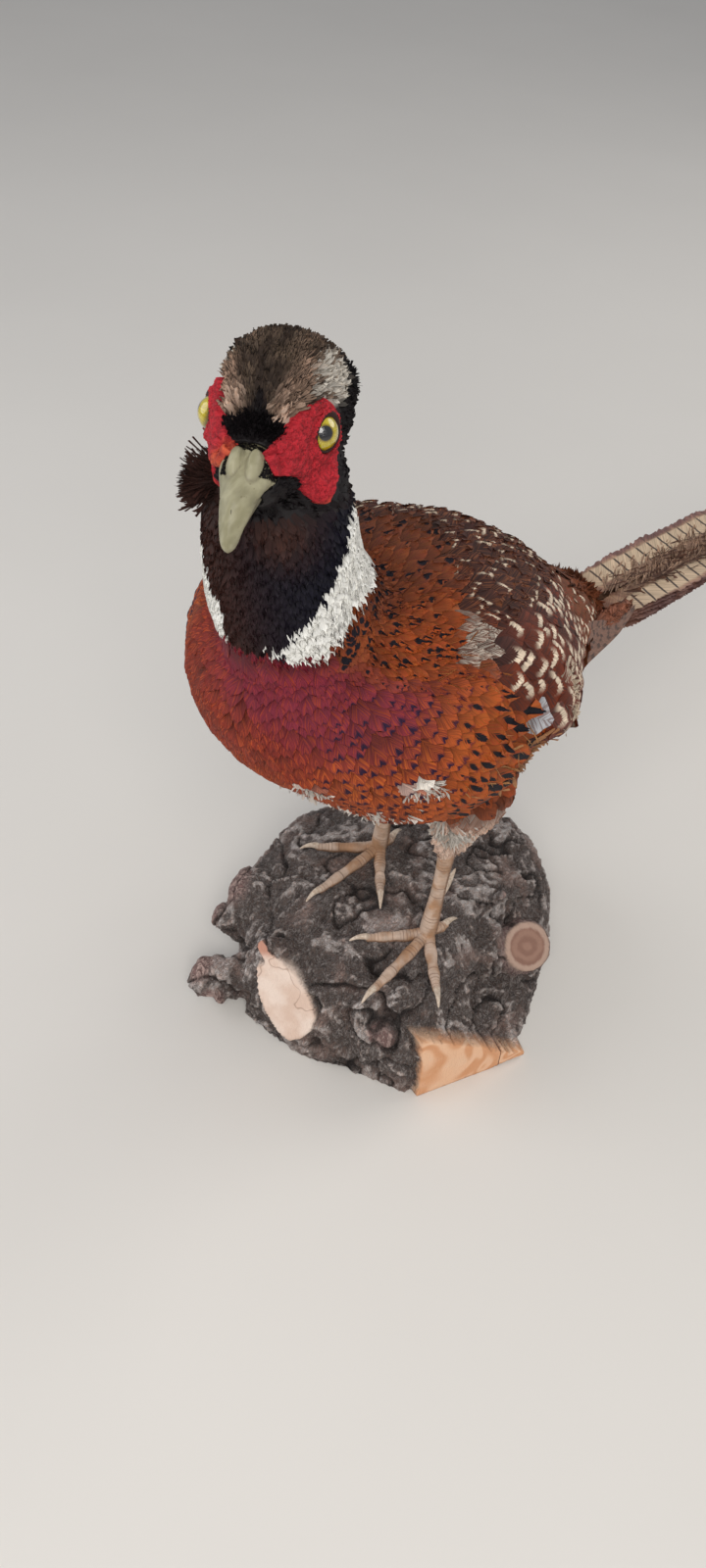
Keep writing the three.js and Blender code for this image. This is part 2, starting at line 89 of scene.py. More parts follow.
def light_studio():
    heart = (0, -0.05, 0.26)
    area_light("key_light", (0.75, -1.0, 1.35), heart, 0.9, 17, (1.0, 0.97, 0.93))
    area_light("fill_light", (-1.3, -0.9, 0.9), heart, 1.4, 9, (0.96, 0.97, 1.0))
    area_light("back_light", (0.5, 1.5, 1.2), heart, 1.2, 9, (1.0, 0.98, 0.95))
    world = bpy.data.worlds.new("studio")
    world.use_nodes = True
    background = world.node_tree.nodes["Background"]
    background.inputs["Color"].default_value = (0.86, 0.88, 0.92, 1)
    background.inputs["Strength"].default_value = 0.42
    bpy.context.scene.world = world
    bpy.context.scene.view_settings.view_transform = "Standard"


# ---------------------------------------------------------------- colours


def paint(red, green, blue):
    """A colour given in 0-255 display values, as the linear colour that a shader takes."""
    display = np.array([red, green, blue]) / 255
    return np.where(display <= 0.04045, display / 12.92, ((display + 0.055) / 1.055) ** 2.4)


SOOT = paint(20, 14, 17)
BLUE_BLACK = paint(15, 15, 30)
THROAT_BROWN = paint(62, 35, 28)
RING_WHITE = paint(238, 237, 232)
PLUM = paint(120, 34, 54)
RUST = paint(126, 42, 22)
COPPER = paint(156, 66, 28)
GOLD = paint(176, 88, 32)
MANTLE_BROWN = paint(122, 66, 36)
MAROON = paint(74, 38, 30)
CHESTNUT = paint(116, 50, 28)
CREAM = paint(222, 202, 178)
PATCH_GREY = paint(222, 208, 192)
PATCH_BROWN = paint(108, 76, 64)
BLUE_GREY = paint(198, 198, 202)
DUSK_GREY = paint(128, 116, 116)
CROWN_BROWN = paint(112, 94, 78)
CROWN_DARK = paint(46, 35, 29)
BROW_BUFF = paint(194, 160, 138)
BROW_PALE = paint(222, 194, 174)
NAPE_WHITE = paint(206, 199, 188)
RUMP_BROWN = paint(116, 68, 42)
BELLY_BROWN = paint(58, 32, 22)
DOWN_WHITE = paint(226, 218, 208)
DOWN_GREY = paint(222, 190, 170)
SPOT_BLACK = paint(20, 16, 26)
EDGE_PLUM = paint(40, 16, 46)
EDGE_RUST = paint(66, 20, 14)
THIGH_RUST = paint(132, 66, 36)


def blend(first, second, share):
    """Two colours, or two rows of colours, mixed by a share for each row."""
    share = np.asarray(share, float)[..., None]
    return first * (1 - share) + second * share


def ramp(value, low, high):
    """0 below low, 1 above high, and a smooth rise between them."""
    share = np.clip((np.asarray(value, float) - low) / (high - low), 0, 1)
    return share * share * (3 - 2 * share)


def near(points, centre, reach):
    """1 at the centre, falling smoothly to 0 past the reach, which may differ along x, y and z."""
    away = (points - np.array(centre, float)) / np.array(reach, float)
    return np.exp(-(away**2).sum(-1))


def near_both(points, centre, reach):
    """The same round a place on the bird's left and its mirror image on the right."""
    x, y, z = centre
    return near(points, centre, reach) + near(points, (-x, y, z), reach)


def noise_at(points, scale, shift=0.0, octaves=1):
    """Smooth noise at each place, between about -1 and 1, its features 1/scale millimetres across."""
    total = np.zeros(len(points))
    for octave in range(octaves):
        places = (points * scale * 2**octave + shift).tolist()
        total += np.array([noise.noise(place) for place in places]) / 2**octave
    return total


# ---------------------------------------------------------------- meshes


def new_piece(name, points, faces):
    """A mesh object from points in millimetres and arrays of faces, one array for each number of corners."""
    arrays = faces if isinstance(faces, list) else [faces]
    groups = [np.asarray(group, np.int32) for group in arrays if len(group)]
    mesh = bpy.data.meshes.new(name)
    mesh.vertices.add(len(points))
    mesh.vertices.foreach_set("co", (np.asarray(points, np.float32) * MM).ravel())
    corners = np.concatenate([group.ravel() for group in groups])
    counts = np.concatenate([np.full(len(group), group.shape[1], np.int32) for group in groups])
    mesh.loops.add(len(corners))
    mesh.loops.foreach_set("vertex_index", corners)
    mesh.polygons.add(len(counts))
    starts = np.concatenate([[0], np.cumsum(counts)[:-1]]).astype(np.int32)
    mesh.polygons.foreach_set("loop_start", starts)
    mesh.polygons.foreach_set("loop_total", counts)
    mesh.polygons.foreach_set("use_smooth", np.full(len(counts), True))
    mesh.update(calc_edges=True)
    mesh.validate()
    piece = bpy.data.objects.new(name, mesh)
    bpy.context.scene.collection.objects.link(piece)
    return piece


def read_rows(items, key, size=3, kind=np.float32):
    """What each item of a mesh says under a key, as rows of numbers."""
    flat = np.empty(len(items) * size, kind)
    items.foreach_get(key, flat)
    return flat.reshape(-1, size)


def points_of(piece):
    return read_rows(piece.data.vertices, "co").astype(float) / MM


def normals_of(piece):
    return read_rows(piece.data.vertices, "normal").astype(float)


def triangles_of(piece):
    piece.data.calc_loop_triangles()
    return read_rows(piece.data.loop_triangles, "vertices", kind=np.int32)


def quads_of(piece):
    return read_rows(piece.data.loops, "vertex_index", 1, np.int32).reshape(-1, 4)


def move_points(piece, points):
    piece.data.vertices.foreach_set("co", (np.asarray(points, np.float32) * MM).ravel())
    piece.data.update()


def give_colour(piece, name, values):
    layer = piece.data.attributes.new(name, "FLOAT_COLOR", "POINT")
    rows = np.ones((len(values), 4), np.float32)
    rows[:, :3] = values
    layer.data.foreach_set("color", rows.ravel())


def give_vector(piece, name, values):
    layer = piece.data.attributes.new(name, "FLOAT_VECTOR", "POINT")
    layer.data.foreach_set("vector", np.asarray(values, np.float32).ravel())


def give_map(piece, name, values):
    """A UV map whose place is the same in every face that meets at a point."""
    corners = read_rows(piece.data.loops, "vertex_index", 1, np.int32).ravel()
    layer = piece.data.uv_layers.new(name=name)
    layer.data.foreach_set("uv", np.asarray(values, np.float32)[corners].ravel())


def finish_piece(piece, material, slot, *nodes):
    piece.data.materials.append(material)
    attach(piece, "root")
    if nodes:
        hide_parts(*nodes)
    return piece


def unit(vectors):
    return vectors / np.maximum(np.linalg.norm(vectors, axis=-1, keepdims=True), 1e-9)


class Surface:
    """A mesh that points are laid on."""

    def __init__(self, piece):
        self.tree = BVHTree.FromPolygons(points_of(piece).tolist(), triangles_of(piece).tolist())

    def nearest(self, points):
        """The nearest places on the mesh, and the normals there."""
        flat = points.reshape(-1, 3)
        found = [self.tree.find_nearest(place)[:2] for place in flat.tolist()]
        places = np.array([place[:] for place, _ in found])
        normals = np.array([normal[:] for _, normal in found])
        return places.reshape(points.shape), normals.reshape(points.shape)

    def distance(self, points):
        return np.array([self.tree.find_nearest(place)[3] for place in points.tolist()])

    def outwards(self, origins, directions):
        """Where lines from inside the mesh leave it; a line that never does gives nan."""
        hits = [self.tree.ray_cast(o, d)[0] for o, d in zip(origins.tolist(), directions.tolist())]
        return np.array([hit[:] if hit else (np.nan,) * 3 for hit in hits])


def grid_faces(rows, columns, wrap=False):
    """Quads over a grid of points, closed round its columns when wrap is set."""
    row, column = np.meshgrid(np.arange(rows - 1), np.arange(columns if wrap else columns - 1), indexing="ij")
    following = (column + 1) % columns
    quads = [row * columns + column, row * columns + following]
    quads += [(row + 1) * columns + following, (row + 1) * columns + column]
    return np.stack(quads, -1).reshape(-1, 4)


def closed_faces(rows, around):
    """Faces over rings of points between a first and a last single point, one row for each."""
    quads = grid_faces(rows - 2, around, wrap=True) + 1
    turn = np.arange(around)
    following = (turn + 1) % around
    start_fan = np.stack([np.zeros(around, int), following + 1, turn + 1], -1)
    last = (rows - 2) * around + 1
    end_base = last - around
    end_fan = np.stack([np.full(around, last), end_base + turn, end_base + following], -1)
    return [quads, start_fan, end_fan]


def flipped(faces):
    return [group[:, ::-1] for group in faces]


def smooth_path(points, count):
    """A list of stations resampled on a Catmull-Rom curve, at even steps of its parameter."""
    points = np.asarray(points, float)
    padded = np.vstack([2 * points[0] - points[1], points, 2 * points[-1] - points[-2]])
    at = np.linspace(0, len(points) - 1, count)
    base = np.minimum(at.astype(int), len(points) - 2)
    t = (at - base)[:, None]
    a, b, c, d = (padded[base + k] for k in range(4))
    return 0.5 * (2 * b + (c - a) * t + (2 * a - 5 * b + 4 * c - d) * t**2 + (3 * b - a - 3 * c + d) * t**3)


def rounded_body(stations, rows=40, around=32, upright=(0, 0, 1), ends=(0.12, 0.12), square=1.0):
    """A closed round body over stations (x, y, z, half width, reach up, reach down), and its faces."""
    path = smooth_path(stations, rows)
    t = (1 - np.cos(np.linspace(0, math.pi, rows))) / 2
    even = np.linspace(0, 1, rows)
    values = np.stack([np.interp(t, even, path[:, k]) for k in range(6)], -1)
    centre = values[:, :3]
    travel = unit(np.gradient(centre, axis=0))
    side = unit(np.cross(travel, np.array(upright, float)))
    top = np.cross(side, travel)

    def closing(distance, share):
        return np.sqrt(np.clip(1 - (1 - np.minimum(distance / share, 1)) ** 2, 0, 1))

    shrink = (closing(t, ends[0]) * closing(1 - t, ends[1]))[1:-1, None, None]
    angle = np.linspace(0, 2 * math.pi, around, endpoint=False)
    across = np.sign(np.cos(angle)) * np.abs(np.cos(angle)) ** square
    rise = np.sign(np.sin(angle)) * np.abs(np.sin(angle)) ** square
    inner = values[1:-1]
    reach = np.where(rise > 0, inner[:, 4:5], inner[:, 5:6])
    ring = centre[1:-1, None] + shrink * (
        side[1:-1, None] * (across * inner[:, 3:4])[..., None] + top[1:-1, None] * (rise * reach)[..., None]
    )
    points = np.vstack([centre[:1], ring.reshape(-1, 3), centre[-1:]])
    return points, closed_faces(rows, around)


# ---------------------------------------------------------------- shader nodes


def math_method(name, swapped=False):
    """A method of Signal that places one math node."""

    def place_node(first, second=0.0):
        order = (second, first) if swapped else (first, second)
        return first.nodes.math(name, *order)

    return place_node


class Signal:
    """A value in a shader tree. Arithmetic on it places the nodes that work out the result."""

    def __init__(self, nodes, socket):
        self.nodes = nodes
        self.socket = socket

    __add__ = math_method("ADD")
    __radd__ = math_method("ADD", swapped=True)
    __sub__ = math_method("SUBTRACT")
    __rsub__ = math_method("SUBTRACT", swapped=True)
    __mul__ = math_method("MULTIPLY")
    __rmul__ = math_method("MULTIPLY", swapped=True)
    __truediv__ = math_method("DIVIDE")
    __rtruediv__ = math_method("DIVIDE", swapped=True)
    __abs__ = math_method("ABSOLUTE")
    sign = math_method("SIGN")
    root = math_method("SQRT")
    fraction = math_method("FRACT")
    sine = math_method("SINE")
    or_more = math_method("MAXIMUM")


class Nodes:
    """Places nodes in one tree and links them by the names of their sockets."""

    def __init__(self, tree):
        self.tree = tree

    def add(self, kind, inputs=None, **settings):
        node = self.tree.nodes.new("ShaderNode" + kind)
        for name, value in settings.items():
            setattr(node, name, value)
        for name, value in (inputs or {}).items():
            self.feed(node.inputs[name], value)
        return node

    def signals(self, sockets):
        return {socket.name: Signal(self, socket) for socket in sockets}

    def result(self, kind, output, inputs=None, **settings):
        """One output of a new node."""
        return Signal(self, self.add(kind, inputs, **settings).outputs[output])

    def feed(self, socket, value):
        if isinstance(value, Signal):
            self.tree.links.new(value.socket, socket)
        elif socket.type == "RGBA":
            socket.default_value = (*value[:3], 1)
        else:
            socket.default_value = value

    def math(self, operation, first, second=0.0):
        return self.result("Math", 0, {0: first, 1: second}, operation=operation)

    def ramp(self, value, low, high):
        """0 at low and 1 at high, where low may be above high, and either may be a signal."""
        inputs = {"Value": value, "From Min": low, "From Max": high}
        return self.result("MapRange", "Result", inputs, interpolation_type="SMOOTHSTEP")

    def range(self, value, low, high, to_low, to_high):
        inputs = {"Value": value, "From Min": low, "From Max": high, "To Min": to_low, "To Max": to_high}
        return self.result("MapRange", "Result", inputs)

    def mix(self, share, first, second):
        return self.result("Mix", 2, {0: share, 6: first, 7: second}, data_type="RGBA")

    def scaled(self, colour, share):
        return self.result("VectorMath", "Vector", {0: colour, "Scale": share}, operation="SCALE")

    def parts(self, vector):
        return self.signals(self.add("SeparateXYZ", {"Vector": vector}).outputs)

    def painted(self, name):
        """The three numbers that a mesh gives under this name."""
        return self.parts(self.result("Attribute", "Vector", attribute_name=name))

    def tint(self, name):
        """The colour that a mesh gives under this name."""
        return self.result("Attribute", "Color", attribute_name=name)

    def place(self, scale=(1.0, 1.0, 1.0)):
        """The place on the model in metres, which scale may stretch."""
        spot = self.result("TexCoord", "Object")
        return self.result("Mapping", "Vector", {"Vector": spot, "Scale": scale})

    def noise(self, scale, vector, detail=3.0, distortion=0.0):
        inputs = {"Vector": vector, "Scale": scale, "Detail": detail, "Distortion": distortion}
        return self.result("TexNoise", "Fac", inputs)

    def cells(self, scale, vector):
        return self.result("TexVoronoi", "Distance", {"Vector": vector, "Scale": scale}, feature="F1")

    def group(self, name, **inputs):
        """The outputs of a shader group, its inputs named with underscores for spaces."""
        fed = {label.replace("_", " "): value for label, value in inputs.items()}
        return self.signals(self.add("Group", fed, node_tree=GROUPS[name]).outputs)

    def mottle(self, size, depth):
        return self.group("mottle", Place=self.place(), Size=size, Depth=depth)


GROUPS = {}


def open_group(name, inputs, outputs):
    """A new shader group. Each input has its value, or None when it is a vector; all outputs are numbers."""
    group = bpy.data.node_groups.new(name, "ShaderNodeTree")
    for label, value in inputs.items():
        kind = "NodeSocketVector" if value is None else "NodeSocketFloat"
        socket = group.interface.new_socket(label, in_out="INPUT", socket_type=kind)
        if value is not None:
            socket.default_value = value
    for label in outputs:
        group.interface.new_socket(label, in_out="OUTPUT", socket_type="NodeSocketFloat")
    n = Nodes(group)
    entry = n.signals(group.nodes.new("NodeGroupInput").outputs)
    leave = group.nodes.new("NodeGroupOutput").inputs
    GROUPS[name] = group
    return n, entry, leave


def make_barbs_group():
    """Fine barbs that slant away from a feather's shaft.

    Shade is there to multiply a colour by, Strand is each barb's share, and From Shaft is 0.5 at the edges.
    """
    inputs = {"Vane": None, "Count": 16.0, "Slant": 16.0, "Seed": 0.0}
    n, entry, leave = open_group("barbs", inputs, ("Shade", "Height", "Strand", "From Shaft"))
    vane = n.parts(entry["Vane"])
    from_shaft = abs(vane["X"] - 0.5)
    side = (vane["X"] - 0.5).sign()
    swept = from_shaft * entry["Slant"]
    slanted = vane["Y"] * entry["Count"] - swept
    depth = entry["Seed"] + side
    strands = n.result("CombineXYZ", "Vector", {"X": from_shaft * 1.6, "Y": slanted, "Z": depth})
    fine = n.noise(1.0, strands, detail=3.0)
    shaft = n.ramp(from_shaft, 0.03, 0.0)
    n.feed(leave["Shade"], n.range(fine, 0.3, 0.7, 0.62, 1.26))
    n.feed(leave["Height"], fine + shaft * 0.25)
    n.feed(leave["Strand"], n.ramp(fine, 0.32, 0.68))
    n.feed(leave["From Shaft"], from_shaft)


def make_figures_group():
    """Markings of a body feather: a dark notch at the tip, a spot, a pale loop, barbs of a second colour."""
    inputs = {"Vane": None, "Sizes": None, "Streak and Long": None, "Strand": 0.5}
    n, entry, leave = open_group("feather_figures", inputs, ("Notch", "Spot", "Loop", "Streak"))
    vane = n.parts(entry["Vane"])
    sizes = n.parts(entry["Sizes"])
    more = n.parts(entry["Streak and Long"])
    across = (vane["X"] - 0.5) * 2.0
    aside = abs(across)
    along = vane["Y"]
    rough = (entry["Strand"] - 0.5) * 0.35

    def ring(x, y):
        """How far out a place is on an oval, 1 at its edge, made uneven by the barbs."""
        squares = x * x + y * y
        return squares.root() + rough

    tall = sizes["X"] * 0.42
    from_tip = (1.0 - along) / (tall + 0.001)
    notch = from_tip + aside * 1.5 + rough
    edge = n.ramp(along, 0.9, 0.97) * (0.6 * n.ramp(sizes["X"], 0.05, 0.3))
    notch = (n.ramp(notch, 1.25, 0.65) * n.ramp(sizes["X"], 0.03, 0.12)).or_more(edge)
    tall = 0.14 + more["Y"] * 0.2
    broad = 0.6 - more["Y"] * 0.2
    out = ring(across / broad, (along - 0.82) / tall)
    spot = n.ramp(out - sizes["Y"], 0.14, -0.12)
    spot = spot * n.ramp(sizes["Y"], 0.02, 0.15)
    out = ring(across, (along - 0.55) / 0.42)
    off = abs(out - rough * 0.6 - 0.66)
    wide = sizes["Z"] * 0.21
    loop = n.ramp(off, wide, wide * 0.55) * n.ramp(along, 0.5, 0.72)
    hand = ((more["Z"] * 7.3).fraction() - 0.5).sign()
    one_side = n.ramp(across * hand, -0.5, 0.15)
    loop = loop * one_side * n.ramp(sizes["Z"], 0.02, 0.1)
    bound = 1.05 - more["X"] * 1.1
    streak = n.ramp(entry["Strand"] - bound, -0.16, 0.16)
    streak = streak * n.ramp(more["X"], 0.02, 0.1)
    n.feed(leave["Notch"], notch)
    n.feed(leave["Spot"], spot)
    n.feed(leave["Loop"], loop)
    n.feed(leave["Streak"], streak)


def make_mottle_group():
    """Blotches over a surface, at a size given in millimetres, as a value round 1 to multiply by."""
    n, entry, leave = open_group("mottle", {"Place": None, "Size": 5.0, "Depth": 0.3}, ("Shade", "Height"))
    coarse = n.noise(1000.0 / entry["Size"], entry["Place"], detail=4.0)
    low = 1.0 - entry["Depth"]
    high = 1.0 + entry["Depth"]
    n.feed(leave["Shade"], n.range(coarse, 0.3, 0.7, low, high))
    n.feed(leave["Height"], coarse)


class Look(Nodes):
    """A material with a Principled BSDF, whose plain sockets are named with underscores for spaces."""

    def __init__(self, name, **surface):
        self.material = bpy.data.materials.new(name)
        self.material.use_nodes = True
        super().__init__(self.material.node_tree)
        self.shader = self.tree.nodes["Principled BSDF"]
        for key, value in surface.items():
            self.shader.inputs[key.replace("_", " ")].default_value = value

    def finish(self, colour, shade=None, height=None, depth=0.0):
        """Gives the surface its colour, a shade to multiply that by, and a bump so many millimetres deep."""
        shown = colour if shade is None else self.scaled(colour, shade)
        self.feed(self.shader.inputs["Base Color"], shown)
        if height is not None:
            normal = self.result("Bump", "Normal", {"Height": height, "Distance": depth * MM})
            self.feed(self.shader.inputs["Normal"], normal)
        return self.material


def plumage_material(name, barbs=(16.0, 16.0), contrast=0.64, depth=0.3, **surface):
    """Feathers: each vane brings its own ground, rim and mark colours, and the size of each marking."""
    n = Look(name, **surface)
    vane = n.result("UVMap", "UV", uv_map="vane")
    sizes = n.result("Attribute", "Vector", attribute_name="sizes")
    more = n.result("Attribute", "Vector", attribute_name="more_sizes")
    seed = n.parts(more)["Z"]
    count, slant = barbs
    grain = n.group("barbs", Vane=vane, Count=count, Slant=slant, Seed=seed * 60.0)
    figures = n.group("feather_figures", Vane=vane, Sizes=sizes, Streak_and_Long=more, Strand=grain["Strand"])
    ground = n.tint("ground")
    mark = n.tint("mark")
    colour = n.mix(figures["Streak"], ground, mark)
    colour = n.mix(figures["Loop"], colour, CREAM)
    colour = n.mix(figures["Notch"], colour, n.tint("rim"))
    colour = n.mix(figures["Spot"], colour, SPOT_BLACK)
    barbed = n.range(grain["Strand"], 0.0, 1.0, 1.0 - 0.55 * contrast, 1.0 + 0.35 * contrast)
    # Painted shade: each vane darkens towards its root, where the row before it covers it, and is lightest at
    # its tip.
    shown = n.range(n.parts(vane)["Y"], 0.5, 0.82, 1.0 - 0.62 * contrast, 1.0 + 0.08 * contrast)
    barbed = barbed * shown
    shade = barbed * n.range(seed, 0.0, 1.0, 1.0 - 0.22 * contrast, 1.0 + 0.2 * contrast)
    return n.finish(colour, shade, grain["Height"], depth)


# ---------------------------------------------------------------- the skin

COAT_DEPTH = 3.4  # of the body feathers, from the skin to their tips
NECK_DEPTH = 2.4
HEAD_DEPTH = 1.3
SKIN_VOXEL = 2.2

FLESH = ["head", "neck", "neck_ring", "breast", "trunk", "rump"]
FLESH += ["wing_left", "wing_right", "thigh_left", "thigh_right", "ear_tuft_left", "ear_tuft_right"]

HEAD_PLACE = np.array([9.0, -132.0, 430.0])  # midway between the eyes
HEAD_TURN = math.radians(28.5)
HEAD_NOD = math.radians(10)
HEAD_FOOT = 396  # the height at which the neck's feathers end and the head's start
HEAD_FRAME = np.array(Matrix.Rotation(HEAD_TURN, 3, "Z") @ Matrix.Rotation(HEAD_NOD, 3, "X"))


def from_head(points):
    """Places in the head's own frame (x to its left, y backwards, z up), put where the head is."""
    return np.asarray(points, float) @ HEAD_FRAME.T + HEAD_PLACE


def to_head(points):
    return (np.asarray(points, float) - HEAD_PLACE) @ HEAD_FRAME


def node_body(node):
    """A CAD node's points, merged where they meet, with its triangles."""
    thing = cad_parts[node]
    places, index = np.unique(np.round(points_of(thing), 2), axis=0, return_inverse=True)
    triangles = index.ravel()[triangles_of(thing)]
    first, second, third = triangles.T
    return places, triangles[(first != second) & (second != third) & (first != third)]


def point_normals(points, triangles):
    first, second, third = (points[triangles[:, k]] for k in range(3))
    faces = np.cross(second - first, third - first)
    normals = np.zeros_like(points)
    for k in range(3):
        np.add.at(normals, triangles[:, k], faces)
    return unit(normals)


def stacked(name, shapes):
    """One mesh that holds several shapes, each given by its points and its arrays of faces."""
    base = np.cumsum([0] + [len(points) for points, _ in shapes])
    faces = [np.asarray(group) + start for (_, groups), start in zip(shapes, base) for group in groups]
    return new_piece(name, np.vstack([points for points, _ in shapes]), faces)


def swollen(nodes, swell=0.0):
    """Shapes that copy these nodes, each swollen or shrunk a little."""
    shapes = []
    for node in nodes:
        points, triangles = node_body(node)
        shapes.append((points + swell * point_normals(points, triangles), [triangles]))
    return shapes


def brief_surface(shapes):
    """Several shapes as one surface; the mesh that it is read from is removed again."""
    piece = stacked("seat", shapes)
    surface = Surface(piece)
    bpy.data.objects.remove(piece)
    return surface


def remeshed(name, source, voxel, smoothing):
    """The closed body round a mesh, in even quads; the source is used up."""
    remesh = source.modifiers.new("remesh", "REMESH")
    remesh.mode = "VOXEL"
    remesh.voxel_size = voxel * MM
    soften = source.modifiers.new("soften", "SMOOTH")
    soften.iterations = smoothing
    soften.factor = 0.5
    graph = bpy.context.evaluated_depsgraph_get()
    mesh = bpy.data.meshes.new_from_object(source.evaluated_get(graph))
    bpy.data.objects.remove(source)
    quads = read_rows(mesh.loops, "vertex_index", 1, np.int32).reshape(-1, 4)
    points, quads = largest_body(read_rows(mesh.vertices, "co") / MM, quads)
    bpy.data.meshes.remove(mesh)
    return new_piece(name, points, quads)


def largest_body(points, quads):
    """Leaves out the bubbles that a remesh makes inside a body."""
    label = np.arange(len(points))
    while True:
        lowest = label[quads].min(1)
        spread = label.copy()
        for k in range(4):
            np.minimum.at(spread, quads[:, k], lowest)
        spread = spread[spread]
        if (spread == label).all():
            break
        label = spread
    keep = label == np.bincount(label).argmax()
    index = np.cumsum(keep) - 1
    return points[keep], index[quads[keep[quads[:, 0]]]]


def coat_depth(points):
    """How deep the feathers lie over the skin: thin on the face, deeper down the neck and over the trunk."""
    depth = NECK_DEPTH + (COAT_DEPTH - NECK_DEPTH) * ramp(points[:, 2], 350, 320)
    return depth + (HEAD_DEPTH - depth) * ramp(points[:, 2], 400, 416)


def make_skin():
    core = [node for node in FLESH if node != "ear_tuft_left"]
    flesh = stacked("flesh", swollen(core, swell=0.35))
    skin = remeshed("skin", flesh, voxel=SKIN_VOXEL, smoothing=6)
    points = points_of(skin)
    move_points(skin, points - normals_of(skin) * coat_depth(points)[:, None])
    return skin


# ---------------------------------------------------------------- the lie of the coat

# The line that the feathers follow from the crown down the neck and along the back, as (y, z) in the middle.
SPINE = [(-136, 440), (-124, 424), (-121, 402), (-118, 378), (-110, 352), (-96, 330), (-80, 312), (-62, 298)]
SPINE += [(-40, 287), (-10, 275), (25, 260), (60, 247), (95, 232), (122, 222), (170, 212)]


def along_spine(points):
    """For each place: its share of the spine's length, its turn about the spine, and the way to the tail."""
    line = smooth_path(SPINE, 240)
    line = np.column_stack([np.zeros(len(line)), line])
    travel = unit(np.gradient(line, axis=0))
    shares, turns, ways = [], [], []
    for chunk in np.array_split(points, max(1, len(points) // 4000)):
        away = chunk[:, None, 1:] - line[None, :, 1:]
        weight = np.exp(-((away**2).sum(-1)) / 900)
        weight /= weight.sum(1, keepdims=True)
        share = weight @ np.linspace(0, 1, len(line))
        way = unit(weight @ travel)
        centre = weight @ line
        upright = np.cross(way, (1.0, 0, 0))
        turn = np.arctan2(chunk[:, 0], ((chunk - centre) * upright).sum(1))
        shares.append(share)
        turns.append(turn / (2 * math.pi) + 0.5)
        ways.append(way)
    return np.concatenate(shares), np.concatenate(turns), np.vstack(ways)


def skin_map(points):
    """The skin opened flat: its turn about the spine across, and the way along the spine upwards."""
    share, turn, _ = along_spine(points)
    return np.column_stack([0.02 + 0.96 * turn, 0.02 + 0.96 * share])


def lie_of(points, normals):
    """The way that feathers lie at these places, along the skin."""
    _, _, way = along_spine(points)
    head = to_head(points)
    face = ramp(points[:, 2], 396, 412)
    droop = -0.5 * ramp(np.abs(head[:, 0]), 6, 18) - 0.35 * ramp(head[:, 1], 10, 30)
    back = unit(np.column_stack([np.zeros(len(points)), np.ones(len(points)), droop])) @ HEAD_FRAME.T
    way = unit(blend(way, back, face))
    leg = ramp(points[:, 2], 232, 205) * ramp(np.abs(points[:, 0]), 8, 16)
    way = unit(blend(way, np.array([0, 0.25, -1.0]), leg))
    return unit(way - normals * (way * normals).sum(-1, keepdims=True))


NEIGHBOURS = [(i, j, k) for i in (-1, 0, 1) for j in (-1, 0, 1) for k in (-1, 0, 1)]


def thinned(places, gap):
    """The indices of places that keep their gap from those already kept, in the order they come in."""
    cell = gap.max()
    kept = []
    boxes = {}
    for index, place in enumerate(places.tolist()):
        i, j, k = (int(value // cell) for value in place)
        around = [other for di, dj, dk in NEIGHBOURS for other in boxes.get((i + di, j + dj, k + dk), ())]
        away = places[around] - place
        if not ((away**2).sum(-1) < gap[index] ** 2).any():
            kept.append(index)
            boxes.setdefault((i, j, k), []).append(index)
    return kept


def scatter(skin, spacing, region, settle=7):
    """Places over part of the skin, spaced as far apart as spacing says, settled to lie evenly."""
    corners = points_of(skin)[quads_of(skin)]
    centres = corners.mean(1)
    inside = region(centres)
    corners = corners[inside]
    centres = centres[inside]
    areas = np.linalg.norm(np.cross(corners[:, 2] - corners[:, 0], corners[:, 3] - corners[:, 1]), axis=1) / 2
    reach = spacing(centres)
    wanted = areas / (reach**2 * 0.87)
    count = int(wanted.sum() * 7)
    picked = chance.choice(len(areas), count, p=wanted / wanted.sum())
    share = chance.random((count, 2, 1))
    quad = corners[picked]
    low = quad[:, 0] + (quad[:, 1] - quad[:, 0]) * share[:, 0]
    high = quad[:, 3] + (quad[:, 2] - quad[:, 3]) * share[:, 0]
    places = low + (high - low) * share[:, 1]
    places = places[thinned(places, reach[picked] * 0.72)]
    for _ in range(settle):
        places = spread_apart(places, spacing(places))
        places, _ = skin_surface.nearest(places)
    return places[region(places)]


def spread_apart(places, reach):
    """Pushes places away from those that are nearer than they should be."""
    moved = places.copy()
    for start in range(0, len(places), 1500):
        chunk = slice(start, start + 1500)
        away = places[chunk, None] - places[None]
        distance = np.sqrt((away**2).sum(-1))
        limit = reach[chunk, None]
        push = np.where((distance < limit) & (distance > 1e-6), (limit - distance) * 0.22, 0)
        moved[chunk] += (away / np.maximum(distance, 1e-6)[..., None] * push[..., None]).sum(1)
    return moved


# ---------------------------------------------------------------- feathers

VANE_OUTLINE = ((0, 0.2, 0.45, 0.7, 0.88, 1.0), (0.3, 0.7, 0.96, 1.0, 0.84, 0.5))
PLUME_OUTLINE = ((0, 0.2, 0.5, 0.8, 1.0), (0.5, 0.9, 1.0, 0.8, 0.25))
BAKE_PATCH = 0.003
SHOWN_SHARE = 0.68  # of a feather's length, to the middle of what the next row leaves uncovered
CREASE = math.radians(75)


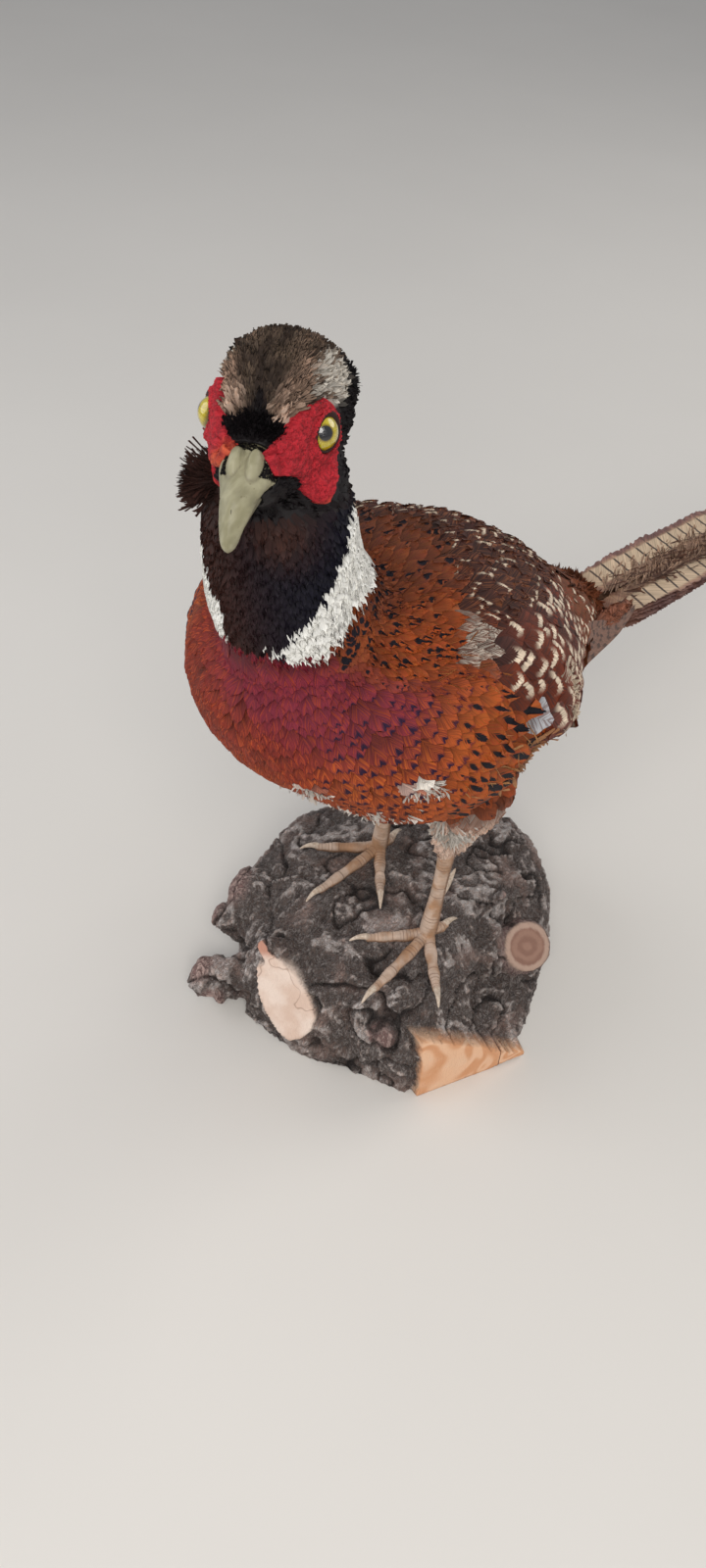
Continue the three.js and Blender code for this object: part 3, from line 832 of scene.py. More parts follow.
class Coat:
    """Feathers gathered into one mesh, each with its colours and markings."""

    def __init__(self):
        self.points, self.faces, self.vane, self.bake, self.looks = [], [], [], [], []
        self.count = 0

    def add(self, points, faces, vane, roots_map, looks):
        """points (n, p, 3), faces over p, vane (n, p, 2), and one row of looks for each feather."""
        feathers, size = points.shape[:2]
        self.points.append(points.reshape(-1, 3))
        for group in faces:
            offset = self.count + np.arange(feathers)[:, None, None] * size
            self.faces.append((group[None] + offset).reshape(-1, group.shape[1]))
        self.vane.append(vane.reshape(-1, 2))
        self.bake.append((roots_map[:, None] + BAKE_PATCH * (vane - 0.5)).reshape(-1, 2))
        self.looks.append({key: np.repeat(value, size, axis=0) for key, value in looks.items()})
        self.count += feathers * size

    def finish(self, name, material, slot, *nodes):
        by_corners = {}
        for group in self.faces:
            by_corners.setdefault(group.shape[1], []).append(group)
        piece = new_piece(name, np.vstack(self.points), [np.vstack(groups) for groups in by_corners.values()])
        piece.data.set_sharp_from_angle(angle=CREASE)
        give_map(piece, "vane", np.vstack(self.vane))
        give_map(piece, "OFBake", np.vstack(self.bake))
        for key in ("ground", "rim", "mark"):
            give_colour(piece, key, np.vstack([looks[key] for looks in self.looks]))
        for key in ("sizes", "more_sizes"):
            give_vector(piece, key, np.vstack([looks[key] for looks in self.looks]))
        return finish_piece(piece, material, slot, *nodes)


def blade_template(rows, columns):
    """A thin closed blade: a top grid, and a lower one that shares its border."""
    top = np.arange(rows * columns).reshape(rows, columns)
    under = top.copy()
    inner = (rows - 2) * (columns - 2)
    under[1:-1, 1:-1] = rows * columns + np.arange(inner).reshape(rows - 2, columns - 2)

    def quads(grid, flip):
        corners = [grid[:-1, :-1], grid[:-1, 1:], grid[1:, 1:], grid[1:, :-1]]
        return np.stack(corners[::-1] if flip else corners, -1).reshape(-1, 4)

    return [quads(top, False), quads(under, True)]


def closed_blade(top_points, normals, thickness):
    """Adds the under side's inner points to a blade's top grid (n, rows, columns, 3)."""
    n = len(top_points)
    under = top_points[:, 1:-1, 1:-1] - normals[:, 1:-1, 1:-1] * thickness
    return np.concatenate([top_points.reshape(n, -1, 3), under.reshape(n, -1, 3)], 1)


def blade_values(grid):
    """The same for values that top and under side share, such as the map of the vane."""
    n, size = len(grid), grid.shape[-1]
    return np.concatenate([grid.reshape(n, -1, size), grid[:, 1:-1, 1:-1].reshape(n, -1, size)], 1)


def vane_map(count, along, across):
    """For each of count vanes, every point's place on it: across from 0 to 1, and from root to tip."""
    grid = np.stack(np.broadcast_arrays((across[None] + 1) / 2, along[:, None]), -1)
    return blade_values(np.broadcast_to(grid[None], (count, *grid.shape)))


def lay_vanes(
    surface, roots, lie, length, width, sink, lift, rows=8, columns=3, outline=PLUME_OUTLINE,
    round_tip=0.9, tip_power=2.0, notch=0.0, fray=0.2, crown=0.1, curl=0.9, wander=0.06, thickness=0.22,
    uneven=0.35,
):
    """Vanes that follow the surface from their roots, rising from below it to their tips.

    Returns their points (n, p, 3), their faces, the map of each vane, and the places that their middles
    show at.
    """
    n = len(roots)
    lift = np.broadcast_to(lift, n)[:, None]
    uneven = np.broadcast_to(uneven, n)[:, None, None, None]
    crown = np.broadcast_to(crown, n)[:, None, None, None]
    place, normal = surface.nearest(roots)
    way = unit(lie + chance.normal(0, wander, (n, 3)))
    way = unit(way - normal * (way * normal).sum(-1, keepdims=True))
    along = np.linspace(0, 1, rows)
    shaft, up, ahead = [], [], []
    for k in range(rows):
        shaft.append(place)
        up.append(normal)
        ahead.append(way)
        if k < rows - 1:
            place, found = surface.nearest(place + way * (length * (along[k + 1] - along[k]))[:, None])
            normal = unit(0.5 * normal + 0.5 * found)
            way = unit(way - normal * (way * normal).sum(-1, keepdims=True))
    shaft, up, ahead = (np.stack(part, 1) for part in (shaft, up, ahead))
    side = unit(np.cross(ahead, up))
    half = np.interp(along, *outline)[None] * (width / 2)[:, None]
    edges = [surface.nearest(shaft + sign * side * half[..., None])[0] for sign in (-1, 1)]
    bend = (edges[0] + edges[1]) / 2 - shaft
    bend = up * np.maximum((bend * up).sum(-1, keepdims=True), -half[..., None] * 0.5)
    across = np.linspace(-1, 1, columns)
    u = across[None, None, :, None]
    v = along[None, :, None, None]
    grid = shaft[:, :, None] + side[:, :, None] * u * half[:, :, None, None] + bend[:, :, None] * u**2
    lifted = (sink + (lift - sink) * along[None] ** curl)[:, :, None, None]
    lifted = lifted + (chance.normal(0, 1, (n, 1, 1, 1)) + chance.normal(0, 1, (n, 1, 1, 1)) * u) * uneven * v
    lifted = lifted - crown * (width / 12)[:, None, None, None] * u**2 * v
    spread = length[:, None, None, None]
    comb = chance.random((n, 1, columns, 1)) * fray * spread * v**6
    tip = round_tip * np.abs(u) ** tip_power * v**3 + notch * np.exp(-((u / 0.3) ** 2)) * v**6
    grid = grid + up[:, :, None] * lifted - ahead[:, :, None] * (tip * width[:, None, None, None] + comb)
    normals = np.broadcast_to(up[:, :, None], grid.shape)
    points = closed_blade(grid, normals, thickness)
    shown = int(rows * SHOWN_SHARE)
    seen = shaft[:, shown] + up[:, shown] * 2
    return points, blade_template(rows, columns), vane_map(n, along, across), seen


# ---------------------------------------------------------------- plumage


class Looks:
    """The colours and markings of a row of feathers, which zones are laid over one after another."""

    def __init__(self, count):
        self.colours = {key: np.tile(BELLY_BROWN, (count, 1)) for key in ("ground", "rim", "mark")}
        self.sizes = {key: np.zeros(count) for key in ("edging", "spot", "loop", "streak", "long")}

    def lay(self, share, **zone):
        for key, value in zone.items():
            if key in self.colours:
                self.colours[key] = blend(self.colours[key], value, share)
            else:
                self.sizes[key] = self.sizes[key] * (1 - share) + value * share

    def take(self):
        sizes = self.sizes
        seed = chance.random(len(sizes["spot"]))
        looks = dict(self.colours)
        looks["sizes"] = np.column_stack([sizes["edging"], sizes["spot"], sizes["loop"]])
        looks["more_sizes"] = np.column_stack([sizes["streak"], sizes["long"], seed])
        return looks


UNMARKED = dict(edging=0.0, spot=0.0, loop=0.0, streak=0.0)
RING_END = 36  # degrees from the throat to where the ring stops on the bird's left


def some(count, share):
    """1 for a share of the feathers, picked at random, and 0 for the rest."""
    return (chance.random(count) < share).astype(float)


def neck_turn(points):
    """Degrees about the neck, from 0 at the throat to 180 at the nape, and the height."""
    x, y, z = points.T
    middle_y = np.interp(z, [335, 345, 353, 360, 378, 393], [-101, -106, -110, -112, -118, -121])
    middle_x = np.interp(z, [335, 353, 378, 393], [0, 1, 3, 5])
    return np.degrees(np.arctan2(np.abs(x - middle_x), middle_y - y)), z


def above_ring(points):
    """Millimetres above the ring's upper and lower edges, and the turn about the neck."""
    turn, z = neck_turn(points)
    higher = 27 * ramp(turn, 100, 50) * (points[:, 0] < 0)  # the ring comes up more on the bird's right
    upper = np.minimum(322 + 0.6 * turn + higher, 392 - 16 * ramp(turn, 120, 180))
    lower = 335 + 18 * ramp(turn, 51, 101)
    return z - upper, z - lower, turn


def mantle_border(wide):
    """How far back the mantle reaches, this far from the middle of the back."""
    return -15 - 0.9 * wide


def mantle_foot(wide):
    """How low the mantle reaches, this far from the middle of the back."""
    return 329 - 0.35 * (wide - 35)


def mantle_share(points):
    """1 between the neck and the mantle's border, above the shoulders."""
    x, y, z = points.T
    return ramp(z, 318, 328) * ramp(y - mantle_border(np.abs(x)), 6, -4) * ramp(-y, 125, 112)


def plain_share(points):
    """1 where the feathers lie so close that the coat looks smooth: down the breast and under the ring."""
    x, y, z = points.T
    front = ramp(-y, 70, 96) * ramp(x, 46, 22) * ramp(x, -62, -44)
    under_ring = ramp(z, 316, 334) * ramp(-y, 74, 90)
    return np.clip(front + under_ring, 0, 1)


def lay_body(looks, points, wing):
    """The body below the ring: mantle, back, wings, breast, flanks and belly; wing is 1 on a wing."""
    x, y, z = points.T
    wide = np.abs(x)
    n = len(points)
    grain = chance.normal(0, 1, n)
    drift = noise_at(points, 0.03, 3.0, 2)

    # Breast: rust at the front and low down, plum towards the shoulders, copper where it turns under.
    breast = ramp(-y, 30, 62)
    looks.lay(breast, ground=RUST, rim=EDGE_RUST, mark=COPPER, edging=0.0, streak=0.2)
    # The plum is partly the breast's own colour and partly its purple sheen, painted in.
    plum = near(points, (8, -122, 326), (36, 40, 22)) + near(points, (40, -108, 314), (26, 30, 20))
    plum = np.clip(1.5 * plum + 0.25 * drift, 0, 1)
    looks.lay(breast * ramp(x, 22, 52) * ramp(z, 350, 330), ground=COPPER, rim=EDGE_PLUM, mark=GOLD)
    looks.lay(breast * ramp(-x, 40, 62) * ramp(z, 350, 330), ground=COPPER, rim=EDGE_PLUM, mark=GOLD)
    looks.lay(breast * plum * 0.9, ground=PLUM, rim=EDGE_PLUM, mark=RUST)
    looks.lay(breast * ramp(z, 285, 255), ground=COPPER, rim=EDGE_RUST, mark=GOLD)
    scaled = breast * (1 - plain_share(points))
    looks.lay(scaled, edging=np.clip(0.46 + 0.1 * grain, 0, 1), streak=0.3)
    looks.lay(breast * plain_share(points), edging=0.07)
    side = np.minimum(ramp(wide, 48, 70) * ramp(z, 330, 300) * ramp(y, -100, -76), 0.85)
    looks.lay(side, ground=GOLD, mark=COPPER)

    # Flanks: long gold feathers with a dark spot at the tip.
    flank = ramp(wide, 40, 55) * ramp(z, 325, 305) * ramp(z, 186, 205) * ramp(y, -92, -72)
    looks.lay(flank, ground=GOLD, rim=COPPER, mark=COPPER, edging=0.0, streak=0.35)
    looks.lay(flank, spot=np.clip(0.85 + 0.12 * grain, 0.5, 1.1) * some(n, 0.8), long=1.2)
    looks.lay(flank * ramp(z, 240, 205) * 0.7, ground=COPPER)
    looks.lay(flank * ramp(y, 60, 100), ground=RUMP_BROWN)

    # Belly and vent: dark brown, softer.
    belly = ramp(wide, 50, 30) * ramp(z, 250, 225) * ramp(y, -90, -60)
    looks.lay(belly, ground=BELLY_BROWN, mark=RUMP_BROWN, edging=0.0, spot=0.0)

    # Mantle: gold with a small dark spot at some tips, browner towards the middle of the back.
    mantle = mantle_share(points) * ramp(z - mantle_foot(wide), -4, 5)
    golden = np.clip(ramp(wide, 22, 48) + 0.4 * drift, 0, 1)
    ground = blend(MANTLE_BROWN, GOLD, golden)
    looks.lay(mantle, ground=ground, rim=SPOT_BLACK, mark=blend(MAROON, COPPER, golden))
    spot = np.clip(1.1 + 0.25 * grain, 0.6, 1.6) * some(n, 0.58)
    looks.lay(mantle, edging=0.0, streak=0.5, spot=spot, long=0.1)
    looks.lay(mantle * ramp(y, -62, -30) * 0.6, ground=MANTLE_BROWN)

    # Back: maroon with short cream strokes, then brown hair-like rump feathers.
    back = ramp(y - mantle_border(wide), -3, 6) * ramp(wide, 66, 44) * ramp(z, 228, 248)
    looks.lay(back, ground=MAROON, rim=SOOT, mark=RUMP_BROWN, edging=0.0, spot=0.0, streak=0.3)
    looks.lay(back, loop=1.0 * some(n, 0.55))
    looks.lay(back * ramp(y, 45, 80), ground=RUMP_BROWN, mark=MAROON, loop=0.0)

    # Wings: chestnut with bold cream crescents; a pale streaked patch at the shoulder.
    looks.lay(wing, ground=CHESTNUT, rim=MAROON, mark=MAROON, edging=0.0, spot=0.0, streak=0.3, long=0.0)
    looks.lay(wing * ramp(wide, 66, 50), ground=MAROON, mark=CHESTNUT)
    looks.lay(wing, loop=np.clip(1.15 + 0.15 * grain, 0.7, 1.4) * some(n, 0.86))
    looks.lay(wing * ramp(y, 30, 70), ground=RUMP_BROWN, loop=0.85 * some(n, 0.6))
    patch = ramp(near_both(points, (61, -56, 327), (15, 13, 10)), 0.34, 0.55)
    looks.lay(patch, ground=PATCH_GREY, mark=PATCH_BROWN, rim=MAROON, **UNMARKED | {"streak": 0.55})
    chevrons = ramp(near_both(points, (66, -44, 321), (15, 10, 12)), 0.45, 0.65)
    looks.lay(chevrons * (1 - patch), loop=1.2, ground=MAROON, streak=0.3)
    grey = ramp(near_both(points, (82, -33, 291), (11, 8, 14)), 0.36, 0.55)
    looks.lay(grey, ground=BLUE_GREY, mark=DUSK_GREY, edging=0.0, loop=0.0, streak=0.5)
    edge = ramp(near_both(points, (82, -14, 289), (12, 9, 16)), 0.4, 0.6) * some(n, 0.6)
    looks.lay(edge, ground=CREAM, mark=CHESTNUT, loop=0.0, streak=0.55)

    # White down that shows at the breast's lower edge and ahead of the flank.
    down = near(points, (30, -128, 275), (6, 6, 4)) + near(points, (65, -98, 281), (8, 8, 4))
    looks.lay(ramp(down, 0.4, 0.7), ground=DOWN_WHITE, mark=DOWN_WHITE, edging=0.0, spot=0.0, streak=0.0)

    # Thighs: rusty brown above, greyer down the leg.
    thigh = ramp(z, 208, 190) * ramp(wide, 6, 14) * ramp(z, 140, 142)
    looks.lay(thigh, ground=THIGH_RUST, mark=BELLY_BROWN, edging=0.0, spot=0.0, loop=0.0, streak=0.3)
    looks.lay(thigh * ramp(z, 194, 176), ground=DOWN_GREY, mark=DOWN_WHITE, streak=0.1)


def lay_neck(looks, points, ragged):
    """The white ring and the black neck above it."""
    n = len(points)
    upper, lower, turn = above_ring(points)
    upper = upper + ragged * chance.normal(0, 1.6, n)
    lower = lower + ragged * chance.normal(0, 1.2, n)
    neck = ramp(points[:, 2], 326, 336) * (lower > 0)
    front = ramp(turn, 75, 25) * ramp(points[:, 0], 26, -8)
    brown = np.clip(0.35 + 0.6 * front, 0, 1) * ramp(points[:, 0], 34, 4)
    brown = np.maximum(brown, 1.1 * near(points, (22, -140, 395), (17, 13, 14)))
    # The neck's own black, with the blue of its sheen painted in on the bird's left, where the throat's brown
    # gives out.
    black = blend(BLUE_BLACK, THROAT_BROWN, np.clip(brown, 0, 1))
    on_left = points[:, 0] > 0
    in_ring = (upper < 0) & (lower > 0) & (turn > np.where(points[:, 0] < 0, 7, RING_END))
    flecks = (turn > 20) & (turn <= RING_END) & on_left & (lower > 0) & (lower < 6) & (some(n, 0.55) > 0)
    looks.lay(neck, ground=black, rim=SOOT, mark=SOOT, **UNMARKED)
    white = (in_ring | flecks).astype(float)
    looks.lay(white, ground=RING_WHITE, rim=RING_WHITE, mark=RING_WHITE, **UNMARKED)


def off_brow(x, y):
    """How far a place in the head's own frame is from the middle line of its brow."""
    line = np.interp(y, [-20, -14, -8, 0, 8, 16], [6.5, 8.5, 10.5, 12.5, 14.5, 15.5])
    return np.abs(np.abs(x) - line)


def lay_head(looks, points):
    """Crown, brows, the black wedge over the bill, the pale patch behind the eye and the dark cheeks."""
    n = len(points)
    head = to_head(points)
    x, y, z = head.T
    wide = np.abs(x)
    top = ramp(z, 4, 12) * ramp(y, 36, 27)
    dusky = blend(SOOT, THROAT_BROWN, 0.5 * ramp(x, 6, -14))
    looks.lay(ramp(points[:, 2], 392, 404), ground=dusky, mark=SOOT)
    looks.lay(top, ground=CROWN_BROWN, rim=CROWN_DARK, mark=CROWN_DARK, streak=0.45)
    bands = noise_at(head * [1, 0.35, 0.6], 0.16, 8.0, 2)
    looks.lay(top * ramp(bands, -0.15, 0.45) * 0.8, ground=CROWN_DARK)
    looks.lay(top * ramp(-bands, 0.0, 0.5) * 0.75 * ramp(wide, 4, 12), ground=BROW_BUFF * 0.75)
    looks.lay(top * ramp(y, 14, 26) * 0.55, ground=CROWN_DARK)
    looks.lay(top * ramp(wide, 4.5, 1) * ramp(y, 8, -8) * 0.6, ground=CROWN_DARK)
    tufts = noise_at(head, 0.3, 21.0, 2)
    brow = ramp(off_brow(x, y) + 1.5 * tufts, 5.4, 1.6) * ramp(y, 12, 0) * ramp(z, 3, 7)
    looks.lay(brow * np.clip(0.62 + 0.5 * tufts, 0.1, 1), ground=BROW_BUFF, mark=CROWN_DARK, streak=0.25)
    looks.lay(brow * ramp(y, -4, -11) * ramp(tufts, -0.3, 0.2), ground=BROW_PALE, mark=BROW_BUFF, streak=0.4)
    half = np.interp(y, [-18, -16.5, -15, -12, -9], [15, 7.5, 4.2, 1.6, 0])
    wedge = ramp(np.abs(x - 1.2) - half + 1.2 * tufts, 1.0, -1.2) * ramp(y, -8, -11)
    side_black = ramp(y, -16, -18)
    looks.lay(np.maximum(wedge, side_black), ground=SOOT, mark=SOOT)
    nape = near(head, (19, 11, 12), (10, 13, 9)) + near(head, (-20, 12, 12), (7, 7, 7))
    speck = some(n, 0.2 + 0.3 * ramp(y, 8, 0))
    nape = ramp(nape + 0.12 * tufts, 0.3, 0.55) * (1 - 0.9 * speck)
    looks.lay(nape, ground=NAPE_WHITE, mark=CROWN_BROWN, streak=0.15)
    fringe = near_both(head, (23, 24, 8), (6, 5, 10))
    looks.lay(ramp(fringe, 0.3, 0.6), ground=SOOT, mark=SOOT)


def looks_of(points, wing=None, ragged=1.0):
    """Every zone laid in turn; wing is 1 for feathers that grow on a wing."""
    looks = Looks(len(points))
    lay_body(looks, points, np.zeros(len(points)) if wing is None else wing)
    lay_neck(looks, points, ragged)
    if (points[:, 2] > 392).any():
        head = Looks(len(points))
        lay_head(head, points)
        looks.lay(ramp(points[:, 2], HEAD_FOOT, HEAD_FOOT + 6), **head.colours, **head.sizes)
    return looks


# ---------------------------------------------------------------- the coat

# The bare skin's edge round the left eye (1) and the right (-1): (back, up) from between the eyes, seen from
# the side.
WATTLE_OUTLINES = {
    1: [
        (-27, 2), (-26, 4.6), (-21.2, 5.9), (-17, 8), (-12.6, 10.6), (-5.2, 12.4), (0.5, 11.8), (4, 9),
        (6.6, 4), (7.2, -2), (6.0, -9), (2.8, -15), (-2.6, -19.8), (-6.6, -23.0), (-8.6, -24.6),
        (-10.4, -21), (-11.8, -14), (-15, -8), (-19.2, -3.4), (-22, -1), (-24, -1.4), (-26.5, 0.2),
    ],
    -1: [
        (-27, 3.5), (-24, 5.6), (-18.8, 6.8), (-14.9, 8.6), (-7.6, 11.7), (-2, 12.4), (3.5, 11.3), (6, 8),
        (7.2, 3), (7.2, -2), (6.4, -9), (4, -15), (-1.4, -19.6), (-6, -22.6), (-9, -23.8), (-11, -21),
        (-12, -14), (-15, -8), (-19.2, -4), (-22, -3), (-25, -1),
    ],
}
EYE_CENTRE = np.array([16.8, -1.0, 0.0])  # of the left eyeball, in the head's own frame
EYE_RADIUS = 6.2


def wattle_reach(angles, side):
    """How far the wattle's edge is from the eye, in the side view, at angles from the bill's way upwards."""
    outline = np.array(WATTLE_OUTLINES[side], float) - EYE_CENTRE[1:]
    angle = np.arctan2(outline[:, 1], -outline[:, 0])
    order = np.argsort(angle)
    reach = np.hypot(outline[:, 0], outline[:, 1])
    return np.interp(angles, angle[order], reach[order], period=2 * math.pi)


def wattle_margin(points):
    """Millimetres that a place on the head lies outside the wattle's edge (negative: on the wattle)."""
    head = to_head(points)
    y, z = head[:, 1] - EYE_CENTRE[1], head[:, 2] - EYE_CENTRE[2]
    angle = np.arctan2(z, -y)
    reach = np.where(head[:, 0] > 0, wattle_reach(angle, 1), wattle_reach(angle, -1))
    return np.where(np.abs(head[:, 0]) > 6, np.hypot(y, z) - reach, 99.0)


def grow(places, **shape):
    """Vanes on the skin at these places."""
    _, normals = skin_surface.nearest(places)
    return lay_vanes(skin_surface, places, lie_of(places, normals), **shape)


def sized(places, size, spread=0.12):
    return size * (1 + spread * chance.uniform(-1, 1, len(places)))


def grow_coat(coat, places, wing=None, **shape):
    points, faces, vane, seen = grow(places, **shape)
    coat.add(points, faces, vane, skin_map(places), looks_of(seen, wing).take())


def wing_share(points):
    """1 for places that lie on a wing, 0 elsewhere."""
    away = np.minimum(wing_surfaces[0].distance(points), wing_surfaces[1].distance(points))
    return (away < COAT_DEPTH + 1.2).astype(float)


def body_spacing(points):
    """How far apart the body feathers stand."""
    x, y, z = points.T
    wide = np.abs(x)
    gap = np.full(len(points), 8.2)
    gap -= 1.9 * ramp(-y, 60, 74) * ramp(z, 210, 225)
    gap -= 1.0 * plain_share(points)
    gap -= 1.8 * mantle_share(points)
    gap += 2.2 * ramp(wide, 44, 60) * ramp(z, 318, 300) * ramp(z, 190, 205) * ramp(y, -84, -66)
    gap -= 1.2 * ramp(y, 55, 85) * ramp(wide, 60, 40)
    gap -= 3.0 * ramp(z, 208, 190) * ramp(z, 140, 144)
    gap += 0.9 * wing_share(points)
    return gap


def is_head(points):
    return (points[:, 2] > HEAD_FOOT) & (wattle_margin(points) > 0.2)


def over_collar(points):
    """True above the line where the neck's short feathers start."""
    _, lower, turn = above_ring(points)
    lower_edge = np.where(turn > RING_END, lower, points[:, 2] - 334)
    return (lower_edge > 5) & (points[:, 2] > 320)


def is_neck(points):
    return (points[:, 2] <= HEAD_FOOT) & over_collar(points)


def is_body(points):
    return ~over_collar(points) & (points[:, 2] > 136)


def head_spacing(points):
    head = to_head(points)
    return 1.3 + 0.9 * ramp(head[:, 2], 2, -14) + 0.8 * ramp(head[:, 1], 22, 34)


def make_head_coat(skin):
    """Short soft feathers over the crown and cheeks, smallest beside the bill."""
    places = scatter(skin, head_spacing, is_head, settle=2)
    head = to_head(places)
    places = places[(head[:, 1] > -19.5) | (head[:, 2] < -4)]
    x, y, z = to_head(places).T
    gap = head_spacing(places)
    tousled = ramp(off_brow(x, y), 6, 2) * ramp(y, 14, 4) * ramp(z, 3, 7)
    crown = (z > 3) & (y < 34)
    for name, chosen, material, slot in (
        ("crown_plumes", crown, CROWN_FEATHERS, "crown_feathers"),
        ("cheek_plumes", ~crown, NECK_FEATHERS, "neck_feathers"),
    ):
        coat = Coat()
        roots = places[chosen]
        size = gap[chosen]
        rough = tousled[chosen]
        grow_coat(
            coat, roots, length=sized(roots, 4.4 * size, 0.3), width=sized(roots, 1.05 * size), sink=-0.5,
            lift=HEAD_DEPTH * sized(roots, 1 + 0.5 * rough, 0.4), uneven=0.24 + 0.2 * rough,
            wander=0.22, rows=5, crown=0.2, thickness=0.1,
        )
        coat.finish(name, material, slot)


def make_neck_coat(skin):
    """Short velvety feathers down the neck, black above and white in the ring."""
    places = scatter(skin, lambda points: np.full(len(points), 2.0), is_neck, settle=2)
    upper, _, turn = above_ring(places)
    ring = ramp(upper, 5, -1) * ramp(turn, 18, 26)
    points, faces, vane, seen = grow(
        places, length=sized(places, 9.0 + 2.0 * ring, 0.2), width=sized(places, 2.3 + 1.1 * ring, 0.3),
        sink=-0.6, lift=NECK_DEPTH - 0.4, rows=5, thickness=0.12, uneven=0.1 - 0.08 * ring, wander=0.09,
    )
    looks = looks_of(seen)
    white = looks.colours["ground"][:, 0] > 0.4
    taken = looks.take()
    where = skin_map(places)
    for name, chosen, material, slot in (
        ("neck_plumes", ~white, NECK_FEATHERS, "neck_feathers"),
        ("ring_plumes", white, RING_FEATHERS, "ring_feathers"),
    ):
        coat = Coat()
        own = {key: value[chosen] for key, value in taken.items()}
        coat.add(points[chosen], faces, vane[chosen], where[chosen], own)
        coat.finish(name, material, slot)


# How the feathers of each part of the body grow: length and width in spacings, how unevenly they stand, and
# the shape of their tips. A part has the places in its region that no part before it has taken.
SCALE_TIP = dict(round_tip=0.16, tip_power=4.0, notch=0.12, fray=0.05, wander=0.07, outline=VANE_OUTLINE)
SOFT_TIP = dict(round_tip=0.35, fray=0.28, wander=0.14)
HAIRY_TIP = dict(round_tip=0.45, fray=0.26, wander=0.1)
ROUND_TIP = dict(round_tip=0.3, fray=0.1, wander=0.07, outline=VANE_OUTLINE)
BODY_PARTS = {
    "thigh_plumes": (3.1, 0.95, 0.3, SOFT_TIP),
    "wing_coverts_left": (2.5, 1.6, 0.3, ROUND_TIP),
    "wing_coverts_right": (2.5, 1.6, 0.3, ROUND_TIP),
    "rump_plumes": (3.9, 1.0, 0.35, HAIRY_TIP),
    "back_vanes": (2.8, 1.35, 0.25, HAIRY_TIP),
    "mantle_vanes": (3.0, 1.15, 0.3, HAIRY_TIP),
    "flank_vanes_left": (2.9, 1.5, 0.22, ROUND_TIP),
    "flank_vanes_right": (2.9, 1.5, 0.22, ROUND_TIP),
    "belly_plumes": (2.7, 1.4, 0.3, SOFT_TIP),
    "breast_vanes_left": (2.5, 1.45, 0.2, SCALE_TIP),
    "breast_vanes_right": (2.5, 1.45, 0.2, SCALE_TIP),
}


def make_body_coat(skin):
    """The trunk, wings and thighs, in vanes that grow longer towards the tail."""
    places = scatter(skin, body_spacing, is_body)
    x, y, z = places.T
    wide = np.abs(x)
    wing = wing_share(places)
    gap = body_spacing(places)
    plain = plain_share(places)
    on_flank = (wide > 40) & (z > 205) & (y > -78)
    regions = {
        "thigh_plumes": ramp(z, 205, 190) > 0.5,
        "wing_coverts_left": (wing > 0.5) & (x > 0),
        "wing_coverts_right": wing > 0.5,
        "rump_plumes": y > 66,
        "back_vanes": (z > 296) & (y > mantle_border(wide) - 4),
        "mantle_vanes": (z > 322) & (y > -105) & (z > mantle_foot(wide)),
        "flank_vanes_left": on_flank & (x > 0),
        "flank_vanes_right": on_flank,
        "belly_plumes": y > -72,
        "breast_vanes_left": x > 0,
        "breast_vanes_right": np.full(len(x), True),
    }
    free = np.full(len(x), True)
    for name, (long, broad, uneven, tip) in BODY_PARTS.items():
        chosen = free & regions[name]
        free = free & ~chosen
        roots = places[chosen]
        close = plain[chosen]
        coat = Coat()
        grow_coat(
            coat, roots, wing[chosen], length=sized(roots, (long + 0.9 * close) * gap[chosen]),
            width=sized(roots, (broad + 0.35 * close) * gap[chosen]), sink=-1.0,
            lift=COAT_DEPTH * (0.95 - 0.3 * close), crown=0.8 - 0.7 * close,
            uneven=uneven * (1 - 0.85 * close), columns=9, **tip,
        )
        slot = "wing_feathers" if name.startswith("wing") else "body_feathers"
        coat.finish(name, WING_FEATHERS if slot == "wing_feathers" else BODY_FEATHERS, slot)


def lay_strands(coat, surface, roots, lie, length, width, lift, colour, dark=None, streak=0.0, **shape):
    """Hair-like feathers of one colour, which may be streaked with a second."""
    points, faces, vane, _ = lay_vanes(surface, roots, lie, length, width, lift=lift, **shape)
    dark = colour if dark is None else dark
    looks = Looks(len(roots))
    looks.lay(np.ones(len(roots)), ground=colour, rim=dark, mark=dark, streak=streak)
    coat.add(points, faces, vane, skin_map(roots), looks.take())


# Loose down and single hairs that stand out of the coat: the middle of each tuft, its reach, how many
# strands, their length and width, how far they stand out, and their colour.
TUFTS = [
    ((-9.5, -146.5, 406.5), (2.4, 3.6, 3.8), 900, 6.4, 0.45, 11.4, THROAT_BROWN),
    ((-8, -146, 411), (2, 3, 3), 340, 5.0, 0.45, 5.6, THROAT_BROWN),
    ((26, -105, 441), (2, 3, 5), 90, 6, 0.6, 2.4, SOOT),
    ((30, -128, 275), (6, 5, 3), 45, 9, 0.9, 3.4, DOWN_WHITE),
    ((65, -98, 281), (7, 6, 2), 130, 9, 1.1, 3.2, DOWN_WHITE),
    ((44, -100, 250), (14, 20, 5), 90, 10, 0.8, 3.6, DOWN_WHITE),
    ((20, -118, 258), (16, 10, 5), 60, 9, 0.8, 3.4, DOWN_WHITE),
    ((38, -26, 183), (12, 12, 9), 230, 13, 0.8, 4.2, DOWN_WHITE),
    ((-32, -8, 183), (12, 12, 9), 160, 13, 0.8, 4.2, DOWN_GREY),
    ((81, -48, 271), (5, 9, 5), 90, 15, 0.7, 4.4, paint(176, 126, 88)),
    ((-81, -48, 271), (5, 9, 5), 80, 15, 0.7, 4.4, paint(176, 126, 88)),
    ((82, -14, 288), (6, 9, 12), 110, 15, 0.8, 4.0, CREAM),
    ((72, -70, 280), (10, 22, 18), 36, 16, 0.26, 4.2, paint(206, 150, 98)),
    ((60, -82, 322), (14, 16, 8), 26, 13, 0.26, 4.0, paint(190, 116, 62)),
    ((-72, -70, 280), (10, 22, 18), 36, 16, 0.26, 4.2, paint(206, 150, 98)),
]


